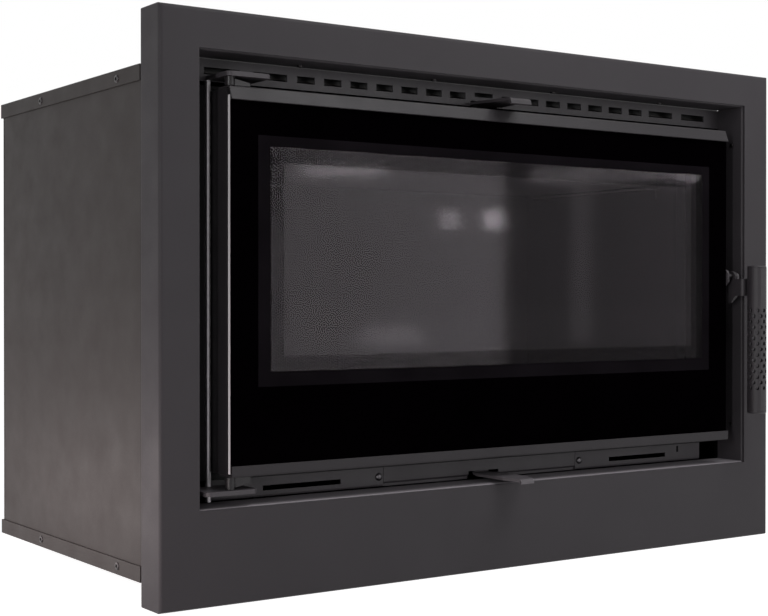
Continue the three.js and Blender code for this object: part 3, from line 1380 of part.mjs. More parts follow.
// A flat plate on the side of the door, with a rounded front that holds the pivot.
function latchBracket() {
  const high = PIVOT_Z + LATCH_BRACKET_RISE;
  const low = PIVOT_Z - LATCH_BRACKET_DROP;
  const radius = (high - low) / 2;
  const noseRadius = LATCH_BRACKET_NOSE_RADIUS;
  const backY = DOOR_BACK_Y - LATCH_BRACKET_BACK_GAP;
  const outline = [
    point(backY, low),
    point(backY, high),
    ...arc(point(LATCH_BRACKET_FRONT_Y + noseRadius, high - noseRadius), noseRadius, 90, 180, 4),
    point(LATCH_BRACKET_FRONT_Y, (high + low) / 2),
    point(LATCH_BRACKET_FRONT_Y + radius, low),
  ];
  const plate = plateYZ(new THREE.Shape(outline), BRACKET_X0, BRACKET_X1);
  return cut(plate, bore(PIVOT_RADIUS + SEAT_GAP, PIVOT_Y, PIVOT_Z, BRACKET_X0, BRACKET_X1));
}

// The pivot is a shouldered bolt: shank, collar between bracket and lever, shank, head.
function latchPivot() {
  const profile = [
    point(0, BRACKET_X0),
    point(PIVOT_RADIUS, BRACKET_X0),
    point(PIVOT_RADIUS, BRACKET_X1 + SEAT_GAP),
    point(PIVOT_COLLAR_RADIUS, BRACKET_X1 + SEAT_GAP),
    point(PIVOT_COLLAR_RADIUS, LEVER_X - RUN_GAP),
    point(PIVOT_RADIUS, LEVER_X - RUN_GAP),
    point(PIVOT_RADIUS, LEVER_X1 + RUN_GAP),
    point(PIVOT_HEAD_RADIUS, LEVER_X1 + RUN_GAP),
    point(PIVOT_HEAD_RADIUS, LEVER_X1 + RUN_GAP + PIVOT_HEAD_LENGTH),
    point(0, LEVER_X1 + RUN_GAP + PIVOT_HEAD_LENGTH),
  ];
  const geometry = new THREE.LatheGeometry(profile, ROUND_STEPS / 2);
  geometry.rotateZ(-Math.PI / 2);
  geometry.translate(0, PIVOT_Y, PIVOT_Z);
  return geometry;
}

// The lever is one flat bar: in front it turns to the right and carries the grip, and behind the pivot it
// is cut to a hook whose tip is an arc about the pivot, so it leaves the keeper pin without binding.
function latchLever() {
  const pivot = point(PIVOT_Y, PIVOT_Z);
  const frontY = GRIP_BACK_Y + SEAT_GAP;
  const barBottomZ = BAR_TOP_Z - BAR_HEIGHT;
  const pinReach = Math.hypot(KEEPER_PIN_Y - PIVOT_Y, KEEPER_DROP);
  const bodyRadius = pinReach - KEEPER_PIN_RADIUS - HOOK_GAP;
  const tipInner = pinReach + KEEPER_PIN_RADIUS + HOOK_GAP;
  const tipOuter = tipInner + HOOK_TIP_THICKNESS;
  const heelZ = PIVOT_Z - tipOuter * Math.sin(THREE.MathUtils.degToRad(HOOK_HEEL_ANGLE));
  const outline = [
    point(frontY, barBottomZ),
    point(PIVOT_Y - HOOK_HEEL_FRONT, barBottomZ),
    point(PIVOT_Y + HOOK_HEEL_BACK, heelZ),
    ...arc(pivot, tipOuter, -HOOK_HEEL_ANGLE, -HOOK_TIP_ANGLE, 5),
    ...arc(pivot, tipInner, -HOOK_TIP_ANGLE, -HOOK_FLOOR_ANGLE, 4),
    ...arc(pivot, bodyRadius, -HOOK_FLOOR_ANGLE, -HOOK_THROAT_ANGLE, 5),
    point(PIVOT_Y + LEVER_LUG_RADIUS * 2, BAR_TOP_Z),
    ...arc(pivot, LEVER_LUG_RADIUS, -LEVER_LUG_END_ANGLE, 180 + LEVER_LUG_END_ANGLE, 8),
    point(frontY, BAR_TOP_Z),
  ];
  const side = plateYZ(new THREE.Shape(outline), LEVER_X, LEVER_X1);
  const armEndX = GRIP_X + BAR_THICKNESS;
  const arm = block(LEVER_X, armEndX, frontY, frontY + BAR_THICKNESS, barBottomZ, BAR_TOP_Z);
  const foldX = LEVER_X + BAR_FOLD_RADIUS;
  const foldY = frontY + BAR_FOLD_RADIUS;
  const low = barBottomZ - CUT_MARGIN;
  const high = BAR_TOP_Z + CUT_MARGIN;
  const corner = block(LEVER_X - CUT_MARGIN, foldX, frontY - CUT_MARGIN, foldY, low, high);
  const fold = roundBar(BAR_FOLD_RADIUS, foldX, foldY, low - CUT_MARGIN, high + CUT_MARGIN);
  const hole = bore(PIVOT_RADIUS + RUN_GAP, PIVOT_Y, PIVOT_Z, LEVER_X, LEVER_X1);
  return cut(join(side, arm), cut(corner, fold), hole);
}

// The grip is a tube with staggered rows of round perforations round its lower part.
function handleGrip() {
  const y = GRIP_BACK_Y - GRIP_RADIUS;
  const z0 = GRIP_BOTTOM_Z + GRIP_CAP_THICKNESS + SEAT_GAP;
  const z1 = GRIP_TOP_Z - GRIP_CAP_THICKNESS - SEAT_GAP;
  const tube = turned(
    [
      point(GRIP_RADIUS - GRIP_WALL, z0),
      point(GRIP_RADIUS, z0),
      point(GRIP_RADIUS, z1),
      point(GRIP_RADIUS - GRIP_WALL, z1),
    ],
    GRIP_X,
    y,
  );
  const inner = GRIP_RADIUS / 2;
  const outer = GRIP_RADIUS + 2;
  const drills = [];
  for (let row = 0; row < PERFORATION_ROWS; row += 1) {
    const z = GRIP_BOTTOM_Z + PERFORATION_FIRST_RISE + row * PERFORATION_ROW_PITCH;
    for (let i = 0; i < PERFORATIONS_A_ROW; i += 1) {
      const turn = ((i + (row % 2) / 2) / PERFORATIONS_A_ROW) * 2 * Math.PI;
      const drill = new THREE.CylinderGeometry(PERFORATION_RADIUS, PERFORATION_RADIUS, outer - inner, 8);
      drill.rotateZ(Math.PI / 2);
      drill.translate((inner + outer) / 2, 0, 0);
      drill.rotateZ(turn);
      drill.translate(GRIP_X, y, z);
      drills.push(drill);
    }
  }
  return cut(tube, ...drills);
}

// A cap: a disc on the end of the grip with a plug inside the tube.
function gripCap(endZ, inward) {
  const seam = endZ + inward * GRIP_CAP_THICKNESS;
  const plugEnd = seam + inward * GRIP_CAP_PLUG;
  const plugRadius = GRIP_RADIUS - GRIP_WALL - SEAT_GAP;
  const profile = [
    point(0, endZ),
    point(GRIP_RADIUS - GRIP_CAP_THICKNESS / 2, endZ),
    point(GRIP_RADIUS, endZ + (inward * GRIP_CAP_THICKNESS) / 2),
    point(GRIP_RADIUS, seam),
    point(plugRadius, seam),
    point(plugRadius, plugEnd),
    point(0, plugEnd),
  ];
  if (inward < 0) profile.reverse();
  const geometry = new THREE.LatheGeometry(profile, ROUND_STEPS);
  geometry.rotateX(Math.PI / 2);
  geometry.translate(GRIP_X, GRIP_BACK_Y - GRIP_RADIUS, 0);
  return geometry;
}

// The keeper: a folded bracket on the body with two ears that hold the pin.
const KEEPER_X0 = LEVER_X - KEEPER_SIDE_GAP - KEEPER_SHEET;
const KEEPER_X1 = LEVER_X1 + KEEPER_SIDE_GAP + KEEPER_SHEET;

function latchKeeper() {
  const frontY = BODY_Y - KEEPER_EAR_DEPTH;
  const baseY = BODY_SEAT_Y - KEEPER_SHEET;
  const high = PIVOT_Z + KEEPER_RISE;
  const low = PIVOT_Z - KEEPER_EAR_DROP;
  const inside0 = KEEPER_X0 + KEEPER_SHEET;
  const inside1 = KEEPER_X1 - KEEPER_SHEET;
  const ears = block(KEEPER_X0, KEEPER_X1, frontY, BODY_SEAT_Y, low, high);
  const below = low - CUT_MARGIN;
  const between = block(inside0, inside1, frontY - CUT_MARGIN, baseY, below, high + CUT_MARGIN);
  const under = block(inside0, inside1, baseY - CUT_MARGIN, BODY_Y, below, PIVOT_Z - KEEPER_BASE_DROP);
  const hole = bore(KEEPER_PIN_RADIUS + SEAT_GAP, KEEPER_PIN_Y, KEEPER_PIN_Z, KEEPER_X0, KEEPER_X1);
  return cut(ears, between, under, hole);
}

add(door, 'latch_bracket', latchBracket(), VENT_GREY);
add(door, 'latch_pivot', latchPivot(), HARDWARE);
add(handle, 'latch_lever', latchLever(), HANDLE_BLACK);
add(handle, 'handle_grip', handleGrip(), HANDLE_BLACK);
add(handle, 'grip_cap_top', gripCap(GRIP_TOP_Z, -1), HANDLE_BLACK);
add(handle, 'grip_cap_bottom', gripCap(GRIP_BOTTOM_Z, 1), HANDLE_BLACK);
add(casing, 'latch_keeper', latchKeeper(), VENT_GREY);
add(
  casing,
  'keeper_pin',
  alongX(KEEPER_PIN_RADIUS, KEEPER_PIN_Y, KEEPER_PIN_Z, KEEPER_X0, KEEPER_X1),
  HARDWARE,
);

// ---------------------------------------------------------------- Air shutters

function shutter(halfLength, z0, airPorts) {
  const plate = block(-halfLength, halfLength, SHUTTER_FRONT_Y, SHUTTER_BACK_Y, z0, z0 + SHUTTER_SHEET);
  return cut(plate, ...airPorts);
}

// A lever is a strip bent in (y, z) from its tail on the shutter to its tip in front, whose lip is folded
// down. In plan it has a neck that passes the slot, shoulders in front of the slot and a taper to the tip.
function airLever({ x, tailZ, bladeZ, neck, shoulder, taperY, tip, tipY, lip }) {
  const blade = bladeZ + LEVER_SHEET / 2;
  const riseY = BODY_Y + LEVER_RISE_SETBACK;
  const shoulderY = BODY_Y - LEVER_SHOULDER_GAP;
  const neckY = shoulderY + LEVER_SHOULDER_CHAMFER;
  const path = rounded(
    [
      point(SHUTTER_BACK_Y, tailZ),
      point(riseY + LEVER_SHEET, tailZ),
      point(riseY, blade),
      point(tipY, blade),
      point(tipY - lip * LEVER_LIP_SLOPE, blade - lip),
    ],
    LEVER_BEND_RADIUS,
  );
  const strip = foldedStrip(path, LEVER_SHEET, x - shoulder / 2, x + shoulder / 2);
  const half = [
    point(neck / 2, SHUTTER_BACK_Y + CUT_MARGIN),
    point(neck / 2, neckY),
    point(shoulder / 2, shoulderY),
    point(shoulder / 2, taperY),
    point(tip / 2, tipY),
    point(tip / 2, tipY - 2 * lip),
  ];
  const rightEdge = half.map((edge) => point(x + edge.x, edge.y));
  const leftEdge = half.map((edge) => point(x - edge.x, edge.y)).reverse();
  const plan = new THREE.Shape([...rightEdge, ...leftEdge]);
  const low = Math.min(tailZ, bladeZ) - 2 * lip;
  const high = Math.max(tailZ, bladeZ) + 2 * LEVER_SHEET;
  return common(strip, plateXY(plan, low, high));
}

const secondaryShutter = shutter(
  SECONDARY_HALF_LENGTH,
  SECONDARY_SHUTTER_Z,
  ports(
    SECONDARY_PORTS,
    SECONDARY_PORT_PITCH,
    SECONDARY_PORT_WIDTH,
    -SECONDARY_OPEN_TRAVEL,
    SECONDARY_SHUTTER_Z - CUT_MARGIN,
    SECONDARY_SHUTTER_Z + SHUTTER_SHEET + CUT_MARGIN,
  ),
);
const primaryShutter = shutter(
  PRIMARY_HALF_LENGTH,
  PRIMARY_SHUTTER_Z,
  ports(
    PRIMARY_PORTS,
    PRIMARY_PORT_PITCH,
    PRIMARY_PORT_WIDTH,
    -PRIMARY_OPEN_TRAVEL,
    PRIMARY_SHUTTER_Z - CUT_MARGIN,
    PRIMARY_SHUTTER_Z + SHUTTER_SHEET + CUT_MARGIN,
  ),
);
const secondaryLever = airLever({
  x: (SECONDARY_CLOSE_TRAVEL - SECONDARY_OPEN_TRAVEL) / 2,
  tailZ: SECONDARY_SHUTTER_Z + SHUTTER_SHEET + SEAT_GAP + LEVER_SHEET / 2,
  bladeZ: SECONDARY_BLADE_Z,
  neck: SECONDARY_NECK_WIDTH,
  shoulder: SECONDARY_SHOULDER_WIDTH,
  taperY: BODY_Y - LEVER_SHOULDER_GAP - 1,
  tip: SECONDARY_TIP_WIDTH,
  tipY: SECONDARY_TIP_Y,
  lip: SECONDARY_LIP,
});
const primaryLever = airLever({
  x: (PRIMARY_CLOSE_TRAVEL - PRIMARY_OPEN_TRAVEL) / 2,
  tailZ: PRIMARY_SHUTTER_Z - SEAT_GAP - LEVER_SHEET / 2,
  bladeZ: PRIMARY_BLADE_Z,
  neck: PRIMARY_NECK_WIDTH,
  shoulder: PRIMARY_SHOULDER_WIDTH,
  taperY: PRIMARY_TAPER_Y,
  tip: PRIMARY_TIP_WIDTH,
  tipY: PRIMARY_TIP_Y,
  lip: PRIMARY_LIP,
});

add(secondaryAir, 'secondary_air_slider', secondaryShutter, FIREBOX_STEEL);
add(secondaryAir, 'secondary_air_lever', secondaryLever, VENT_GREY);
add(primaryAir, 'primary_air_slider', primaryShutter, FIREBOX_STEEL);
add(primaryAir, 'primary_air_lever', primaryLever, VENT_GREY);

// The origin is the middle of the casing's underside.
insert.position.set(0, -(CASING_FRONT_Y + CASING_BACK_Y) / 2, -CASING_BOTTOM_Z);

export default insert;
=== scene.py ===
"""The looks of the fireplace insert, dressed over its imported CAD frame. Metres, in the frame of the CAD."""

import json
import math

import bmesh
import bpy
from mathutils import Euler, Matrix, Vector


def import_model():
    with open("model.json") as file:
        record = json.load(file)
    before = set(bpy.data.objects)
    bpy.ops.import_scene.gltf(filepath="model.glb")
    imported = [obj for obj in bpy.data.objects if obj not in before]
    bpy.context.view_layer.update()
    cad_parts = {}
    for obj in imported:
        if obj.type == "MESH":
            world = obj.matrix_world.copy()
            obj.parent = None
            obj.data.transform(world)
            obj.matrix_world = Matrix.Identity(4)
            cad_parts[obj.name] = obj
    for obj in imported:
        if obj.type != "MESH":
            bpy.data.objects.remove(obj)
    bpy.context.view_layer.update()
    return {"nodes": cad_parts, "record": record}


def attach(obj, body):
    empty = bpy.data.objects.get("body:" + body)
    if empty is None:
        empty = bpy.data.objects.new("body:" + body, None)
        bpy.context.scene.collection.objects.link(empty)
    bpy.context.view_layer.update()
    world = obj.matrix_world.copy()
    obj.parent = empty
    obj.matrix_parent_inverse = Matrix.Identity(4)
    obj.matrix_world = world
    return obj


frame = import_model()
NODES = frame["nodes"]
MM = 0.001

# The photograph's camera, solved from the surround's and the door's edges
CAMERA_AT = (-0.99081, -1.42885, 0.26218)
CAMERA_TURN = -34.573
CAMERA_DOWN = 0.377
CAMERA_LENS = 69.46
SENSOR = 36.0

# The modelling frame of the part's source: x = 0 in the middle, y = 0 at the surround's front, z = 0 at its
# lower edge. Pieces are placed in those millimetres, and this is where that frame's origin lies.
SOURCE_ORIGIN = Vector((0.0, -0.22065, -0.022))


def at(x, y, z):
    """A point of the source's frame, in millimetres, as a point of the row frame, in metres."""
    return SOURCE_ORIGIN + Vector((x, y, z)) * MM


# ---------------------------------------------------------------- Sizes of the finishes

# How fine each pattern is (noise scales), and how deep its bump and how wide its worn edges are, in metres
MOTTLE_SCALE, GRAIN_SCALE, SHEEN_SCALE = 6.0, 1400.0, 30.0
GRAIN_DEPTH, WORN_EDGE_WIDTH = 0.0002, 0.0012
PAINT_SHEEN_SPREAD = 0.05
TARNISH_SCALE, MARKS_SCALE, MARKS_DEPTH = 120.0, 300.0, 0.0001
FLAKE_SCALE, SOOT_SCALE, FLAKE_DEPTH = 260.0, 9.0, 0.0003
STRAND_SCALE, STRAND_TURN, STRAND_WAVER, STRAND_DEPTH = 160.0, 45.0, 0.6, 0.0006
SMEAR_SCALE, ENAMEL_SCALE = 7.0, 14.0
# The glass is fitted to the photograph, and mirrors less than a bare pane does
GLASS_IOR = 1.18
GLASS_GLOSS = (1.0, 0.945, 0.985, 1.0)
GLASS_HAZE = (0.052, 0.064)
# A face counts as looking up when its normal's z is more than this
UP = 0.7

# ---------------------------------------------------------------- Node helpers


def new_material(name):
    material = bpy.data.materials.new(name)
    material.use_nodes = True
    tree = material.node_tree
    tree.nodes.clear()
    return material, tree


def node(tree, kind, **values):
    made = tree.nodes.new(kind)
    for key, value in values.items():
        setattr(made, key, value)
    return made


def link(tree, source, target):
    tree.links.new(source, target)


def object_coordinates(tree, scale=(1, 1, 1)):
    coordinates = node(tree, "ShaderNodeTexCoord")
    mapping = node(tree, "ShaderNodeMapping")
    mapping.inputs["Scale"].default_value = scale
    link(tree, coordinates.outputs["Object"], mapping.inputs["Vector"])
    return mapping.outputs["Vector"]


def noise(tree, vector, scale, detail=3.0, roughness=0.55):
    made = node(tree, "ShaderNodeTexNoise")
    made.inputs["Scale"].default_value = scale
    made.inputs["Detail"].default_value = detail
    made.inputs["Roughness"].default_value = roughness
    link(tree, vector, made.inputs["Vector"])
    return made.outputs["Fac"]


def ramp(tree, fac, stops):
    made = node(tree, "ShaderNodeValToRGB")
    elements = made.color_ramp.elements
    while len(elements) < len(stops):
        elements.new(0.5)
    for element, (position, colour) in zip(elements, stops):
        element.position = position
        element.color = (*colour, 1.0)
    link(tree, fac, made.inputs["Fac"])
    return made.outputs["Color"]


def grey(value):
    return (value, value, value)


def mix(tree, fac, a, b, blend_type="MIX"):
    made = node(tree, "ShaderNodeMix", data_type="RGBA", blend_type=blend_type)
    for socket, value in (("Factor", fac), ("A", a), ("B", b)):
        target = [s for s in made.inputs if s.name == socket and s.enabled][0]
        if hasattr(value, "is_output"):
            link(tree, value, target)
        elif socket == "Factor":
            target.default_value = value
        else:
            target.default_value = (*value, 1.0)
    return [s for s in made.outputs if s.enabled][0]


def bump(tree, height, strength, distance):
    made = node(tree, "ShaderNodeBump")
    made.inputs["Strength"].default_value = strength
    made.inputs["Distance"].default_value = distance
    link(tree, height, made.inputs["Height"])
    return made.outputs["Normal"]


def edge_wear(tree, width):
    """A mask that is 1 along sharp outer edges and 0 elsewhere."""
    bevel = node(tree, "ShaderNodeBevel", samples=4)
    bevel.inputs["Radius"].default_value = width
    geometry = node(tree, "ShaderNodeNewGeometry")
    dot = node(tree, "ShaderNodeVectorMath", operation="DOT_PRODUCT")
    link(tree, bevel.outputs["Normal"], dot.inputs[0])
    link(tree, geometry.outputs["Normal"], dot.inputs[1])
    away = node(tree, "ShaderNodeMath", operation="SUBTRACT", use_clamp=True)
    away.inputs[0].default_value = 1.0
    link(tree, dot.outputs["Value"], away.inputs[1])
    return away.outputs["Value"]


def beyond(tree, axis, edge):
    """A mask that is 1 where the object coordinate on this axis is more than edge, in metres."""
    coordinates = node(tree, "ShaderNodeTexCoord")
    split = node(tree, "ShaderNodeSeparateXYZ")
    link(tree, coordinates.outputs["Object"], split.inputs["Vector"])
    test = node(tree, "ShaderNodeMath", operation="GREATER_THAN")
    link(tree, split.outputs[axis], test.inputs[0])
    test.inputs[1].default_value = edge
    return test.outputs["Value"]


def painted_shade_inside_casing(tree):
    """A mask that is 1 on what lies inside the casing's sheets, which only shows through the vents; the
    casing's paint is near black there, as painted shade.
    """
    coordinates = node(tree, "ShaderNodeTexCoord")
    split = node(tree, "ShaderNodeSeparateXYZ")
    link(tree, coordinates.outputs["Object"], split.inputs["Vector"])
    half_width = node(tree, "ShaderNodeMath", operation="ABSOLUTE")
    link(tree, split.outputs["X"], half_width.inputs[0])
    corner = at(CASING_INNER_HALF_WIDTH, CASING_INNER_BACK_Y, CASING_INNER_TOP_Z)
    mask = None
    for reach, edge in zip((half_width.outputs["Value"], split.outputs["Y"], split.outputs["Z"]), corner):
        test = node(tree, "ShaderNodeMath", operation="LESS_THAN")
        link(tree, reach, test.inputs[0])
        test.inputs[1].default_value = edge
        if mask is None:
            mask = test.outputs["Value"]
        else:
            both = node(tree, "ShaderNodeMath", operation="MULTIPLY")
            link(tree, mask, both.inputs[0])
            link(tree, test.outputs["Value"], both.inputs[1])
            mask = both.outputs["Value"]
    return mask


def painted_light_on_up_faces(tree):
    """A mask that is 1 on faces that look up, where the liner gets a paler colour as painted light from
    above.
    """
    geometry = node(tree, "ShaderNodeNewGeometry")
    split = node(tree, "ShaderNodeSeparateXYZ")
    link(tree, geometry.outputs["Normal"], split.inputs["Vector"])
    test = node(tree, "ShaderNodeMath", operation="GREATER_THAN")
    link(tree, split.outputs["Z"], test.inputs[0])
    test.inputs[1].default_value = UP
    return test.outputs["Value"]


def painted(
    name, colour, roughness, specular=0.2, mottle=0.08, grain=0.25, wear=1.6, mask=None, masked=None
):
    """Stove paint on sheet: a fine grain, slow changes of tone and roughness, and paler rubbed edges.

    Where a mask is given, the colour there is the masked one.
    """
    material, tree = new_material(name)
    shader = node(tree, "ShaderNodeBsdfPrincipled")
    shader.inputs["Specular IOR Level"].default_value = specular
    output = node(tree, "ShaderNodeOutputMaterial")
    link(tree, shader.outputs["BSDF"], output.inputs["Surface"])
    vector = object_coordinates(tree)
    slow = noise(tree, vector, MOTTLE_SCALE, 3.0)
    low = tuple(c * (1 - mottle) for c in colour)
    high = tuple(c * (1 + mottle) for c in colour)
    tone = ramp(tree, slow, [(0.3, low), (0.7, high)])
    fine = noise(tree, vector, GRAIN_SCALE, 2.0)
    speck = ramp(tree, fine, [(0.35, grey(0.9)), (0.65, grey(1.1))])
    tone = mix(tree, 1.0, tone, speck, "MULTIPLY")
    worn = mix(tree, edge_wear(tree, WORN_EDGE_WIDTH), tone, tuple(c * wear for c in colour))
    if mask is not None:
        worn = mix(tree, mask(tree), worn, masked)
    link(tree, worn, shader.inputs["Base Color"])
    rough = ramp(
        tree,
        noise(tree, vector, SHEEN_SCALE, 4.0),
        [(0.3, grey(roughness - PAINT_SHEEN_SPREAD)), (0.7, grey(roughness + PAINT_SHEEN_SPREAD))],
    )
    link(tree, rough, shader.inputs["Roughness"])
    link(tree, bump(tree, fine, grain, GRAIN_DEPTH), shader.inputs["Normal"])
    return material


def metal(name, colour, roughness, brushed=(1, 1, 60)):
    """Bare steel: metallic, with turning or brushing marks and slight tarnish."""
    material, tree = new_material(name)
    shader = node(tree, "ShaderNodeBsdfPrincipled")
    shader.inputs["Metallic"].default_value = 1.0
    output = node(tree, "ShaderNodeOutputMaterial")
    link(tree, shader.outputs["BSDF"], output.inputs["Surface"])
    tarnish = noise(tree, object_coordinates(tree), TARNISH_SCALE, 3.0)
    tone = ramp(tree, tarnish, [(0.3, tuple(c * 0.8 for c in colour)), (0.7, colour)])
    link(tree, tone, shader.inputs["Base Color"])
    marks = noise(tree, object_coordinates(tree, brushed), MARKS_SCALE, 3.0)
    rough = ramp(tree, marks, [(0.3, grey(roughness * 0.75)), (0.7, grey(roughness * 1.3))])
    link(tree, rough, shader.inputs["Roughness"])
    link(tree, bump(tree, marks, 0.2, MARKS_DEPTH), shader.inputs["Normal"])
    return material


def board(name, colour):
    """Pressed board: pale flakes, pits and a rough face."""
    material, tree = new_material(name)
    shader = node(tree, "ShaderNodeBsdfPrincipled")
    shader.inputs["Roughness"].default_value = 0.92
    shader.inputs["Specular IOR Level"].default_value = 0.2
    output = node(tree, "ShaderNodeOutputMaterial")
    link(tree, shader.outputs["BSDF"], output.inputs["Surface"])
    vector = object_coordinates(tree)
    flakes = node(tree, "ShaderNodeTexVoronoi", feature="F1")
    flakes.inputs["Scale"].default_value = FLAKE_SCALE
    link(tree, vector, flakes.inputs["Vector"])
    tone = ramp(
        tree,
        flakes.outputs["Color"],
        [(0.2, tuple(c * 0.8 for c in colour)), (0.6, colour), (1.0, tuple(c * 1.15 for c in colour))],
    )
    soot = noise(tree, vector, SOOT_SCALE, 4.0)
    dark = ramp(tree, soot, [(0.35, grey(0.75)), (0.65, grey(1.0))])
    link(tree, mix(tree, 1.0, tone, dark, "MULTIPLY"), shader.inputs["Base Color"])
    link(tree, bump(tree, flakes.outputs["Distance"], 0.35, FLAKE_DEPTH), shader.inputs["Normal"])
    return material


def rope(name, colour):
    """Braided glass-fibre: two crossing sets of fine strands."""
    material, tree = new_material(name)
    shader = node(tree, "ShaderNodeBsdfPrincipled")
    shader.inputs["Roughness"].default_value = 0.9
    shader.inputs["Sheen Weight"].default_value = 0.3
    output = node(tree, "ShaderNodeOutputMaterial")
    link(tree, shader.outputs["BSDF"], output.inputs["Surface"])
    heights = []
    for turn in (STRAND_TURN, -STRAND_TURN):
        coordinates = node(tree, "ShaderNodeTexCoord")
        mapping = node(tree, "ShaderNodeMapping")
        mapping.inputs["Rotation"].default_value = (0.0, math.radians(turn), 0.0)
        link(tree, coordinates.outputs["Object"], mapping.inputs["Vector"])
        wave = node(tree, "ShaderNodeTexWave", bands_direction="X")
        wave.inputs["Scale"].default_value = STRAND_SCALE
        wave.inputs["Distortion"].default_value = STRAND_WAVER
        link(tree, mapping.outputs["Vector"], wave.inputs["Vector"])
        heights.append(wave.outputs["Fac"])
    braid = mix(tree, 1.0, heights[0], heights[1], "LIGHTEN")
    tone = ramp(tree, braid, [(0.3, tuple(c * 0.55 for c in colour)), (0.8, colour)])
    link(tree, tone, shader.inputs["Base Color"])
    link(tree, bump(tree, braid, 0.6, STRAND_DEPTH), shader.inputs["Normal"])
    return material


def glass(name, tint):
    """Clear glass-ceramic: a smooth gloss over a see-through body with a slight grey tint and soft haze."""
    material, tree = new_material(name)
    output = node(tree, "ShaderNodeOutputMaterial")
    through = node(tree, "ShaderNodeBsdfTransparent")
    through.inputs["Color"].default_value = (*tint, 1.0)
    gloss = node(tree, "ShaderNodeBsdfGlossy")
    gloss.inputs["Color"].default_value = GLASS_GLOSS
    vector = object_coordinates(tree)
    smear = noise(tree, vector, SMEAR_SCALE, 2.0)
    haze = ramp(tree, smear, [(0.3, grey(GLASS_HAZE[0])), (0.7, grey(GLASS_HAZE[1]))])
    link(tree, haze, gloss.inputs["Roughness"])
    fresnel = node(tree, "ShaderNodeFresnel")
    fresnel.inputs["IOR"].default_value = GLASS_IOR
    joined = node(tree, "ShaderNodeMixShader")
    link(tree, fresnel.outputs["Fac"], joined.inputs["Fac"])
    link(tree, through.outputs["BSDF"], joined.inputs[1])
    link(tree, gloss.outputs["BSDF"], joined.inputs[2])
    link(tree, joined.outputs["Shader"], output.inputs["Surface"])
    return material


def enamel(name, colour):
    """Fired black enamel: no gloss to speak of, with a faint unevenness."""
    material, tree = new_material(name)
    shader = node(tree, "ShaderNodeBsdfPrincipled")
    shader.inputs["Specular IOR Level"].default_value = 0.0
    shader.inputs["Roughness"].default_value = 0.6
    output = node(tree, "ShaderNodeOutputMaterial")
    link(tree, shader.outputs["BSDF"], output.inputs["Surface"])
    uneven = noise(tree, object_coordinates(tree), ENAMEL_SCALE, 2.0)
    tone = ramp(tree, uneven, [(0.3, tuple(c * 0.8 for c in colour)), (0.7, tuple(c * 1.2 for c in colour))])
    link(tree, tone, shader.inputs["Base Color"])
    return material


# ---------------------------------------------------------------- Finishes

SURROUND_PAINT = painted("surround_paint", (0.036, 0.0325, 0.036), 0.5, specular=0.12, mottle=0.05)
# The recess's floor is paler than its walls, as in the photograph
# The paler floor is painted light from above on the liner's up faces.
LINER_PAINT = painted(
    "liner_paint_painted_light", (0.040, 0.036, 0.040), 0.45, specular=0.15, mask=painted_light_on_up_faces, masked=(0.20, 0.184, 0.20)
)
# Between the faces of the casing's sheets, in mm
CASING_INNER_HALF_WIDTH, CASING_INNER_BACK_Y, CASING_INNER_TOP_Z = 400.4, 395.7, 499.4
# The casing's own paint, with a near-black colour inside its sheets as painted shade
CASING_PAINT = painted(
    "casing_paint",
    (0.0305, 0.0257, 0.0249),
    0.5,
    specular=0.12,
    mask=painted_shade_inside_casing,
    masked=(0.004, 0.0036, 0.004),
)
RECESS_PAINT = painted("recess_paint", (0.006, 0.0055, 0.006), 0.5, specular=0.1)
VENT_PAINT = painted("vent_paint", (0.050, 0.045, 0.050), 0.45)
TRIM_PAINT = painted("trim_paint", (0.026, 0.0235, 0.026), 0.45, specular=0.12)
DOOR_PAINT = painted("door_paint", (0.019, 0.017, 0.019), 0.45, specular=0.15)
POST_STEEL = metal("post_steel", (0.42, 0.40, 0.42), 0.45)
# Behind this, in mm, the grille's paint is nearly black, as painted shade behind its slots. Its sheet ends at
# 42.5, so only what lies deeper would be.
GRILLE_PAINTED_SHADE_Y = 42.8
# The grille's colour is paler than the surround's paint as painted light that offsets the recess's shade.
GRILLE_PAINT = painted(
    "grille_paint_painted_shade",
    (0.052, 0.047, 0.052),
    0.45,
    mask=lambda tree: beyond(tree, "Y", at(0, GRILLE_PAINTED_SHADE_Y, 0).y),
    masked=(0.003, 0.0027, 0.003),
)
# A paler copy of the vent paint for the primary lever, as painted light from above on it.
LEVER_PAINT_PAINTED_LIGHT = painted("lever_paint_painted_light", (0.075, 0.068, 0.075), 0.45, specular=0.3)
FIREBOX_PAINT = painted("firebox_paint", (0.014, 0.0125, 0.013), 0.7, specular=0.15, mottle=0.15)
HANDLE_PAINT = painted("handle_paint", (0.028, 0.025, 0.028), 0.4, specular=0.2)
KNUCKLE_TAB_X = -323.2
KNUCKLE_PAINT = painted(
    "knuckle_paint",
    (0.015, 0.0135, 0.015),
    0.28,
    specular=0.2,
    mask=lambda tree: beyond(tree, "X", at(KNUCKLE_TAB_X, 0, 0).x),
    masked=(0.017, 0.015, 0.017),
)
HARDWARE = metal("hardware_steel", (0.075, 0.070, 0.075), 0.32)
FASTENER = metal("blackened_steel", (0.045, 0.041, 0.043), 0.3)
CAST_IRON = painted("cast_iron", (0.020, 0.019, 0.018), 0.75, specular=0.2, mottle=0.2, grain=0.8)
BOARD = board("pressed_board", (0.021, 0.018, 0.0195))
ROPE = rope("rope_seal", (0.30, 0.29, 0.27))
GLASS = glass("ceramic_glass", (0.80, 0.77, 0.80))
GROUND_EDGE = painted("ground_glass_edge", (0.62, 0.60, 0.62), 0.5, mottle=0.05, wear=1.0)
ENAMEL = enamel("black_enamel", (0.0006, 0.0003, 0.0006))
ENAMEL_INNER = enamel("thin_black_enamel", (0.0060, 0.0050, 0.0062))

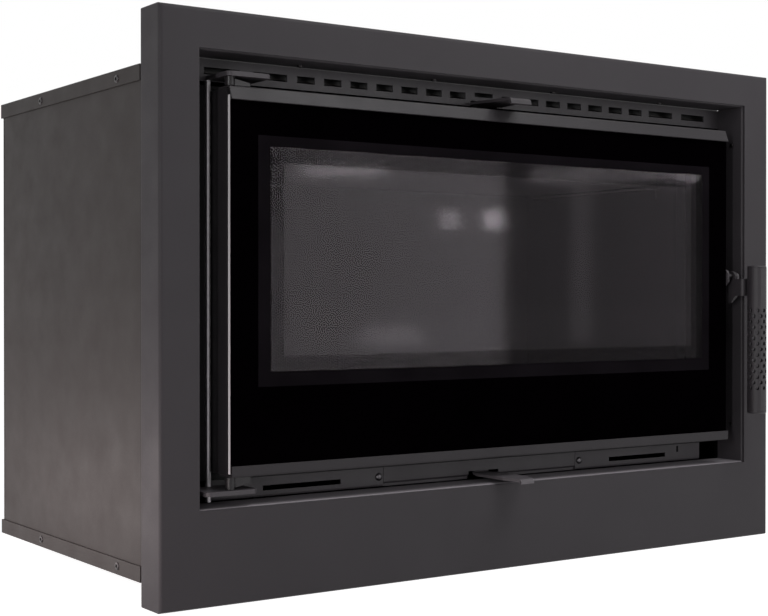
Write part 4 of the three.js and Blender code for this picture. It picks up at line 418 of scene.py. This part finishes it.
MATERIALS = {
    "graphite_paint": SURROUND_PAINT,
    "casing_paint": CASING_PAINT,
    "recess_paint": RECESS_PAINT,
    "vent_paint": VENT_PAINT,
    "firebox_paint": FIREBOX_PAINT,
    "door_paint": DOOR_PAINT,
    "ceramic_glass": GLASS,
    "rope_seal": ROPE,
    "refractory": BOARD,
    "cast_iron": CAST_IRON,
    "hardware_steel": HARDWARE,
    "handle_paint": HANDLE_PAINT,
}
# Nodes whose finish differs a little from the rest of their slot; for the liner, the grille and the primary
# lever the difference is partly painted light or shade
OWN_MATERIALS = {
    "recess_liner": LINER_PAINT,
    "glass_trim_top": TRIM_PAINT,
    "glass_trim_bottom": TRIM_PAINT,
    "hinge_post": POST_STEEL,
    "hinge_knuckle_top": KNUCKLE_PAINT,
    "hinge_knuckle_bottom": KNUCKLE_PAINT,
    "top_vent_grille": GRILLE_PAINT,
    "primary_air_lever": LEVER_PAINT_PAINTED_LIGHT,
    "secondary_air_lever": SURROUND_PAINT,
}
for part in frame["record"]["subparts"]:
    name = part["node"]
    mesh = NODES[name].data
    mesh.materials.clear()
    mesh.materials.append(OWN_MATERIALS.get(name, MATERIALS[part["material_slot"]]))

# ---------------------------------------------------------------- Piece helpers


def piece(name, mesh, body, material):
    made = bpy.data.objects.new(name, mesh)
    bpy.context.scene.collection.objects.link(made)
    mesh.materials.clear()
    mesh.materials.append(material)
    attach(made, body)


def mesh_from(name, build):
    work = bmesh.new()
    build(work)
    mesh = bpy.data.meshes.new(name)
    work.to_mesh(mesh)
    work.free()
    return mesh


# ---------------------------------------------------------------- Print on the glass

GLASS_X0, GLASS_X1, GLASS_Z0, GLASS_Z1 = -330.75, 330.75, 121.0, 472.5
BAND_X0, BAND_X1, BAND_Z0, BAND_Z1 = -287.5, 290.3, 215.0, 427.0
CLEAR_X0, CLEAR_X1, CLEAR_Z0, CLEAR_Z1 = -271.8, 271.4, 229.5, 412.4
THIN = (-301.0, 302.0, 201.0, 437.0)
PRINT_Y0, PRINT_Y1 = -0.12, -0.04
EDGE_Y0, EDGE_Y1 = 0.0, 4.0
EDGE_PROUD = 0.08
DOT_RADIUS = 0.98
DOT_PITCH = 2.85
DOT_COLUMN = DOT_PITCH * math.sqrt(3) / 2


def corners_of(x0, x1, z0, z1):
    return [(x0, z0), (x1, z0), (x1, z1), (x0, z1)]


def printed_frame(work, outer, inner):
    """A flat frame, closed on all sides, between two rectangles."""
    rings = []
    for corners in (corners_of(*outer), corners_of(*inner)):
        for y in (PRINT_Y0, PRINT_Y1):
            rings.append([work.verts.new(at(x, y, z)) for x, z in corners])
    outer_front, outer_back, inner_front, inner_back = rings
    for i in range(4):
        j = (i + 1) % 4
        work.faces.new((outer_front[i], outer_front[j], inner_front[j], inner_front[i]))
        work.faces.new((outer_back[j], outer_back[i], inner_back[i], inner_back[j]))
        work.faces.new((outer_back[i], outer_back[j], outer_front[j], outer_front[i]))
        work.faces.new((inner_back[j], inner_back[i], inner_front[i], inner_front[j]))
    bmesh.ops.recalc_face_normals(work, faces=work.faces)


def honeycomb_dots(work):
    """Six-sided dots on a honeycomb lattice, in the band between the border and the clear glass."""
    columns = int((BAND_X1 - BAND_X0) / DOT_COLUMN)
    rows = int((BAND_Z1 - BAND_Z0) / DOT_PITCH)
    for column in range(columns + 1):
        x = BAND_X0 + (column + 0.4) * DOT_COLUMN
        for row in range(rows + 1):
            z = BAND_Z0 + (row + 0.3 + 0.5 * (column % 2)) * DOT_PITCH
            inside = CLEAR_X0 < x < CLEAR_X1 and CLEAR_Z0 < z < CLEAR_Z1
            if inside or x > BAND_X1 - DOT_RADIUS / 2 or z > BAND_Z1 - DOT_RADIUS / 2:
                continue
            corners = []
            for i in range(6):
                angle = math.radians(60 * i)
                place = at(x + DOT_RADIUS * math.cos(angle), PRINT_Y1, z + DOT_RADIUS * math.sin(angle))
                corners.append(work.verts.new(place))
            work.faces.new(corners)


def ground_edge(work):
    """The ground sides of the glass: a thin closed band round it, just proud of the pane."""
    rings = []
    for proud in (EDGE_PROUD, 0.0):
        corners = [
            (GLASS_X0 - proud, GLASS_Z0 - proud),
            (GLASS_X1 + proud, GLASS_Z0 - proud),
            (GLASS_X1 + proud, GLASS_Z1 + proud),
            (GLASS_X0 - proud, GLASS_Z1 + proud),
        ]
        for y in (EDGE_Y0, EDGE_Y1):
            rings.append([work.verts.new(at(x, y, z)) for x, z in corners])
    for first, second in ((0, 1), (1, 3), (3, 2), (2, 0)):
        for i in range(4):
            j = (i + 1) % 4
            work.faces.new((rings[first][i], rings[first][j], rings[second][j], rings[second][i]))
    bmesh.ops.recalc_face_normals(work, faces=work.faces)


piece("glass_ground_edge", mesh_from("glass_ground_edge", ground_edge), "door", GROUND_EDGE)
PANE = (GLASS_X0, GLASS_X1, GLASS_Z0, GLASS_Z1)
BAND = (BAND_X0, BAND_X1, BAND_Z0, BAND_Z1)
border_mesh = mesh_from("enamel_border", lambda work: printed_frame(work, PANE, THIN))
piece("enamel_border", border_mesh, "door", ENAMEL)
thin_mesh = mesh_from("enamel_thin", lambda work: printed_frame(work, THIN, BAND))
piece("enamel_thin", thin_mesh, "door", ENAMEL_INNER)
piece("enamel_dots", mesh_from("enamel_dots", honeycomb_dots), "door", ENAMEL)

# ---------------------------------------------------------------- Small fasteners

HEAD_STEPS = 24
# Rings of a pan head from its sunk base to the floor of its drive, as shares of radius and height
HEAD_RINGS = [(1.0, -0.4), (1.0, 0.35), (0.9, 0.8), (0.68, 1.0)]
DRIVE_RADIUS = 0.42
DRIVE_WAVE = 0.2
DRIVE_FLOOR = 0.2


def pan_head(work, centre, outward, radius, height):
    """A pan head with a six-lobed drive; it stands on centre and faces outward."""
    turn = Vector((0, 0, 1)).rotation_difference(Vector(outward)).to_matrix()

    def ring(share_at, level):
        made = []
        for i in range(HEAD_STEPS):
            angle = 2 * math.pi * i / HEAD_STEPS
            reach = radius * share_at(angle)
            offset = turn @ Vector((reach * math.cos(angle), reach * math.sin(angle), level * height))
            made.append(work.verts.new(at(*(Vector(centre) + offset))))
        return made

    def lobes(angle):
        return DRIVE_RADIUS * (1 + DRIVE_WAVE * math.cos(6 * angle))

    rings = [ring(lambda angle, share=share: share, level) for share, level in HEAD_RINGS]
    rings.append(ring(lobes, 1.0))
    rings.append(ring(lobes, DRIVE_FLOOR))
    for lower, upper in zip(rings, rings[1:]):
        for i in range(HEAD_STEPS):
            j = (i + 1) % HEAD_STEPS
            work.faces.new((lower[i], lower[j], upper[j], upper[i]))
    work.faces.new(reversed(rings[0]))
    work.faces.new(rings[-1])
    bmesh.ops.recalc_face_normals(work, faces=work.faces)


# Radius and height of the heads, in mm. The casing is as wide as the surround, so its heads stand just past
# both.
CASING_SCREW, WALL_SCREW, RECESS_SCREW = (3.9, 1.0), (2.4, 1.4), (3.2, 1.6)
CASING_SIDE_X = 402.5
SIDE_SCREW_Y = (91.5, 282.4)
SIDE_SCREW_Z = (30.1, 491.8)
RECESS_TOP_Z = 511.5
RECESS_SIDE_X = 361.0
RECESS_SCREW_Y = 33.0
RECESS_SCREW_X = (-235.4, -72.4, 90.6, 253.6)
WALL_SCREW_Y = 19.0
WALL_SCREW_Z = (134.0, 467.5)


def screws_of(places, outward, radius, height):
    def build(work):
        for place in places:
            pan_head(work, place, outward, radius, height)

    return build


for side, name in ((-1, "left"), (1, "right")):
    places = [(side * CASING_SIDE_X, y, z) for y in SIDE_SCREW_Y for z in SIDE_SCREW_Z]
    mesh = mesh_from(f"casing_screws_{name}", screws_of(places, (side, 0, 0), *CASING_SCREW))
    piece(f"casing_screws_{name}", mesh, "casing", FASTENER)
    places = [(side * RECESS_SIDE_X, WALL_SCREW_Y, z) for z in WALL_SCREW_Z]
    mesh = mesh_from(f"wall_screws_{name}", screws_of(places, (-side, 0, 0), *WALL_SCREW))
    piece(f"wall_screws_{name}", mesh, "casing", FASTENER)
places = [(x, RECESS_SCREW_Y, RECESS_TOP_Z) for x in RECESS_SCREW_X]
mesh = mesh_from("recess_screws", screws_of(places, (0, 0, -1), *RECESS_SCREW))
piece("recess_screws", mesh, "casing", FASTENER)

# ---------------------------------------------------------------- Stage, light and camera

FLOOR_Z = -0.0225
FLOOR_REACH = 30
FLOOR_COLOUR = (0.6, 0.6, 0.6, 1.0)
FLOOR_GLOW = 0.9
WHITE = (1.0, 1.0, 1.0, 1.0)


def sees_background(tree):
    """1 for camera, glossy and transmission rays, and 0 for the rays that carry light to the object."""
    path = node(tree, "ShaderNodeLightPath")
    total = path.outputs["Is Camera Ray"]
    for name in ("Is Glossy Ray", "Is Transmission Ray"):
        joined = node(tree, "ShaderNodeMath", operation="MAXIMUM")
        link(tree, total, joined.inputs[0])
        link(tree, path.outputs[name], joined.inputs[1])
        total = joined.outputs["Value"]
    return total


def backdrop_material():
    """A pale floor that shows near white to the camera and in gloss, and still takes the object's shadow."""
    material, tree = new_material("pale_floor")
    output = node(tree, "ShaderNodeOutputMaterial")
    diffuse = node(tree, "ShaderNodeBsdfDiffuse")
    diffuse.inputs["Color"].default_value = FLOOR_COLOUR
    glow = node(tree, "ShaderNodeEmission")
    glow.inputs["Color"].default_value = WHITE
    strength = node(tree, "ShaderNodeMath", operation="MULTIPLY")
    link(tree, sees_background(tree), strength.inputs[0])
    strength.inputs[1].default_value = FLOOR_GLOW
    link(tree, strength.outputs["Value"], glow.inputs["Strength"])
    joined = node(tree, "ShaderNodeAddShader")
    link(tree, diffuse.outputs["BSDF"], joined.inputs[0])
    link(tree, glow.outputs["Emission"], joined.inputs[1])
    link(tree, joined.outputs["Shader"], output.inputs["Surface"])
    return material


def floor(work):
    for x, y in ((-1, -1), (1, -1), (1, 1), (-1, 1)):
        work.verts.new((x * FLOOR_REACH, y * FLOOR_REACH, FLOOR_Z))
    work.faces.new(work.verts[:])


floor_object = bpy.data.objects.new("floor", mesh_from("floor", floor))
bpy.context.scene.collection.objects.link(floor_object)
floor_object.data.materials.append(backdrop_material())

AMBIENT = 0.2


def world():
    made = bpy.data.worlds.new("studio")
    bpy.context.scene.world = made
    made.use_nodes = True
    tree = made.node_tree
    tree.nodes.clear()
    output = node(tree, "ShaderNodeOutputWorld")
    background = node(tree, "ShaderNodeBackground")
    strength = node(tree, "ShaderNodeMix", data_type="FLOAT")
    link(tree, sees_background(tree), strength.inputs["Factor"])
    strength.inputs["A"].default_value = AMBIENT
    strength.inputs["B"].default_value = 1.0
    link(tree, strength.outputs["Result"], background.inputs["Strength"])
    background.inputs["Color"].default_value = WHITE
    link(tree, background.outputs["Background"], output.inputs["Surface"])


world()


def lamp(name, location, target, size, power, colour=(1.0, 1.0, 1.0), in_gloss_only=False):
    light = bpy.data.lights.new(name, "AREA")
    light.shape = "RECTANGLE"
    light.size, light.size_y = size
    light.energy = power
    light.color = colour
    made = bpy.data.objects.new(name, light)
    bpy.context.scene.collection.objects.link(made)
    made.location = location
    made.rotation_euler = (Vector(target) - Vector(location)).to_track_quat("-Z", "Y").to_euler()
    made.visible_camera = False
    made.visible_diffuse = not in_gloss_only


def radiant_power(size, radiance):
    """The power of an area lamp of this size that looks this bright, where 1 is white."""
    return math.pi * size[0] * size[1] * radiance


SOFTBOX = (1.15, 1.25)
SOFTBOX_RADIANCE = 3.0
lamp("softbox", (1.2, -2.4, 0.53), (1.2, 0.0, 0.53), SOFTBOX, radiant_power(SOFTBOX, SOFTBOX_RADIANCE))
# The other lamps: place, target and size in metres, power in watts and colour
lamp("above", (0.35, -0.75, 1.25), (0.1, -0.2, 0.35), (0.9, 0.4), 9)
lamp("left_low", (-0.66, 0.0, 0.0), (-0.4, 0.0, 0.03), (1.0, 0.15), 2.6, (1.0, 0.86, 0.84))
lamp("left_strip", (-2.6, -1.9, 0.35), (-0.3, -0.2, 0.25), (0.14, 2.2), 38)

# Small lights that only show in gloss, placed for this camera's view of the glass: azimuth from the front
# towards the right and elevation of the line from the camera's mirror image, width and height, all in
# degrees, and the radiance.
GLASS_FRONT_Y = at(0, 0, 0).y
MIRRORED_CAMERA = Vector((CAMERA_AT[0], 2 * GLASS_FRONT_Y - CAMERA_AT[1], CAMERA_AT[2]))
GLINT_DISTANCE = 4.6
GLINTS = [
    (37.12, 3.03, 0.65, 0.65, 8.5),
    (38.82, 3.03, 0.65, 0.65, 15.0),
    (33.0, 4.92, 3.2, 0.3, 12.0),
    (42.2, 1.6, 0.75, 6.5, 0.8),
    (34.9, -1.45, 2.3, 0.6, 3.5),
    (43.0, 4.75, 5.5, 0.5, 4.5),
    (46.2, 4.7, 0.8, 0.6, 10.0),
]
for index, (azimuth, elevation, width, height, radiance) in enumerate(GLINTS):
    a, e = math.radians(azimuth), math.radians(elevation)
    ahead = Vector((math.sin(a) * math.cos(e), -math.cos(a) * math.cos(e), math.sin(e)))
    size = [GLINT_DISTANCE * math.radians(angle) for angle in (width, height)]
    place = MIRRORED_CAMERA + GLINT_DISTANCE * ahead
    lamp(f"glint_{index}", place, MIRRORED_CAMERA, size, radiant_power(size, radiance), in_gloss_only=True)

camera_data = bpy.data.cameras.new("camera")
camera_data.sensor_width = SENSOR
camera_data.lens = CAMERA_LENS
camera_data.clip_end = 100.0
camera = bpy.data.objects.new("camera", camera_data)
bpy.context.scene.collection.objects.link(camera)
camera.location = CAMERA_AT
camera.rotation_euler = Euler((math.radians(90 - CAMERA_DOWN), 0.0, math.radians(CAMERA_TURN)))
bpy.context.scene.camera = camera
bpy.context.scene.view_settings.view_transform = "Standard"
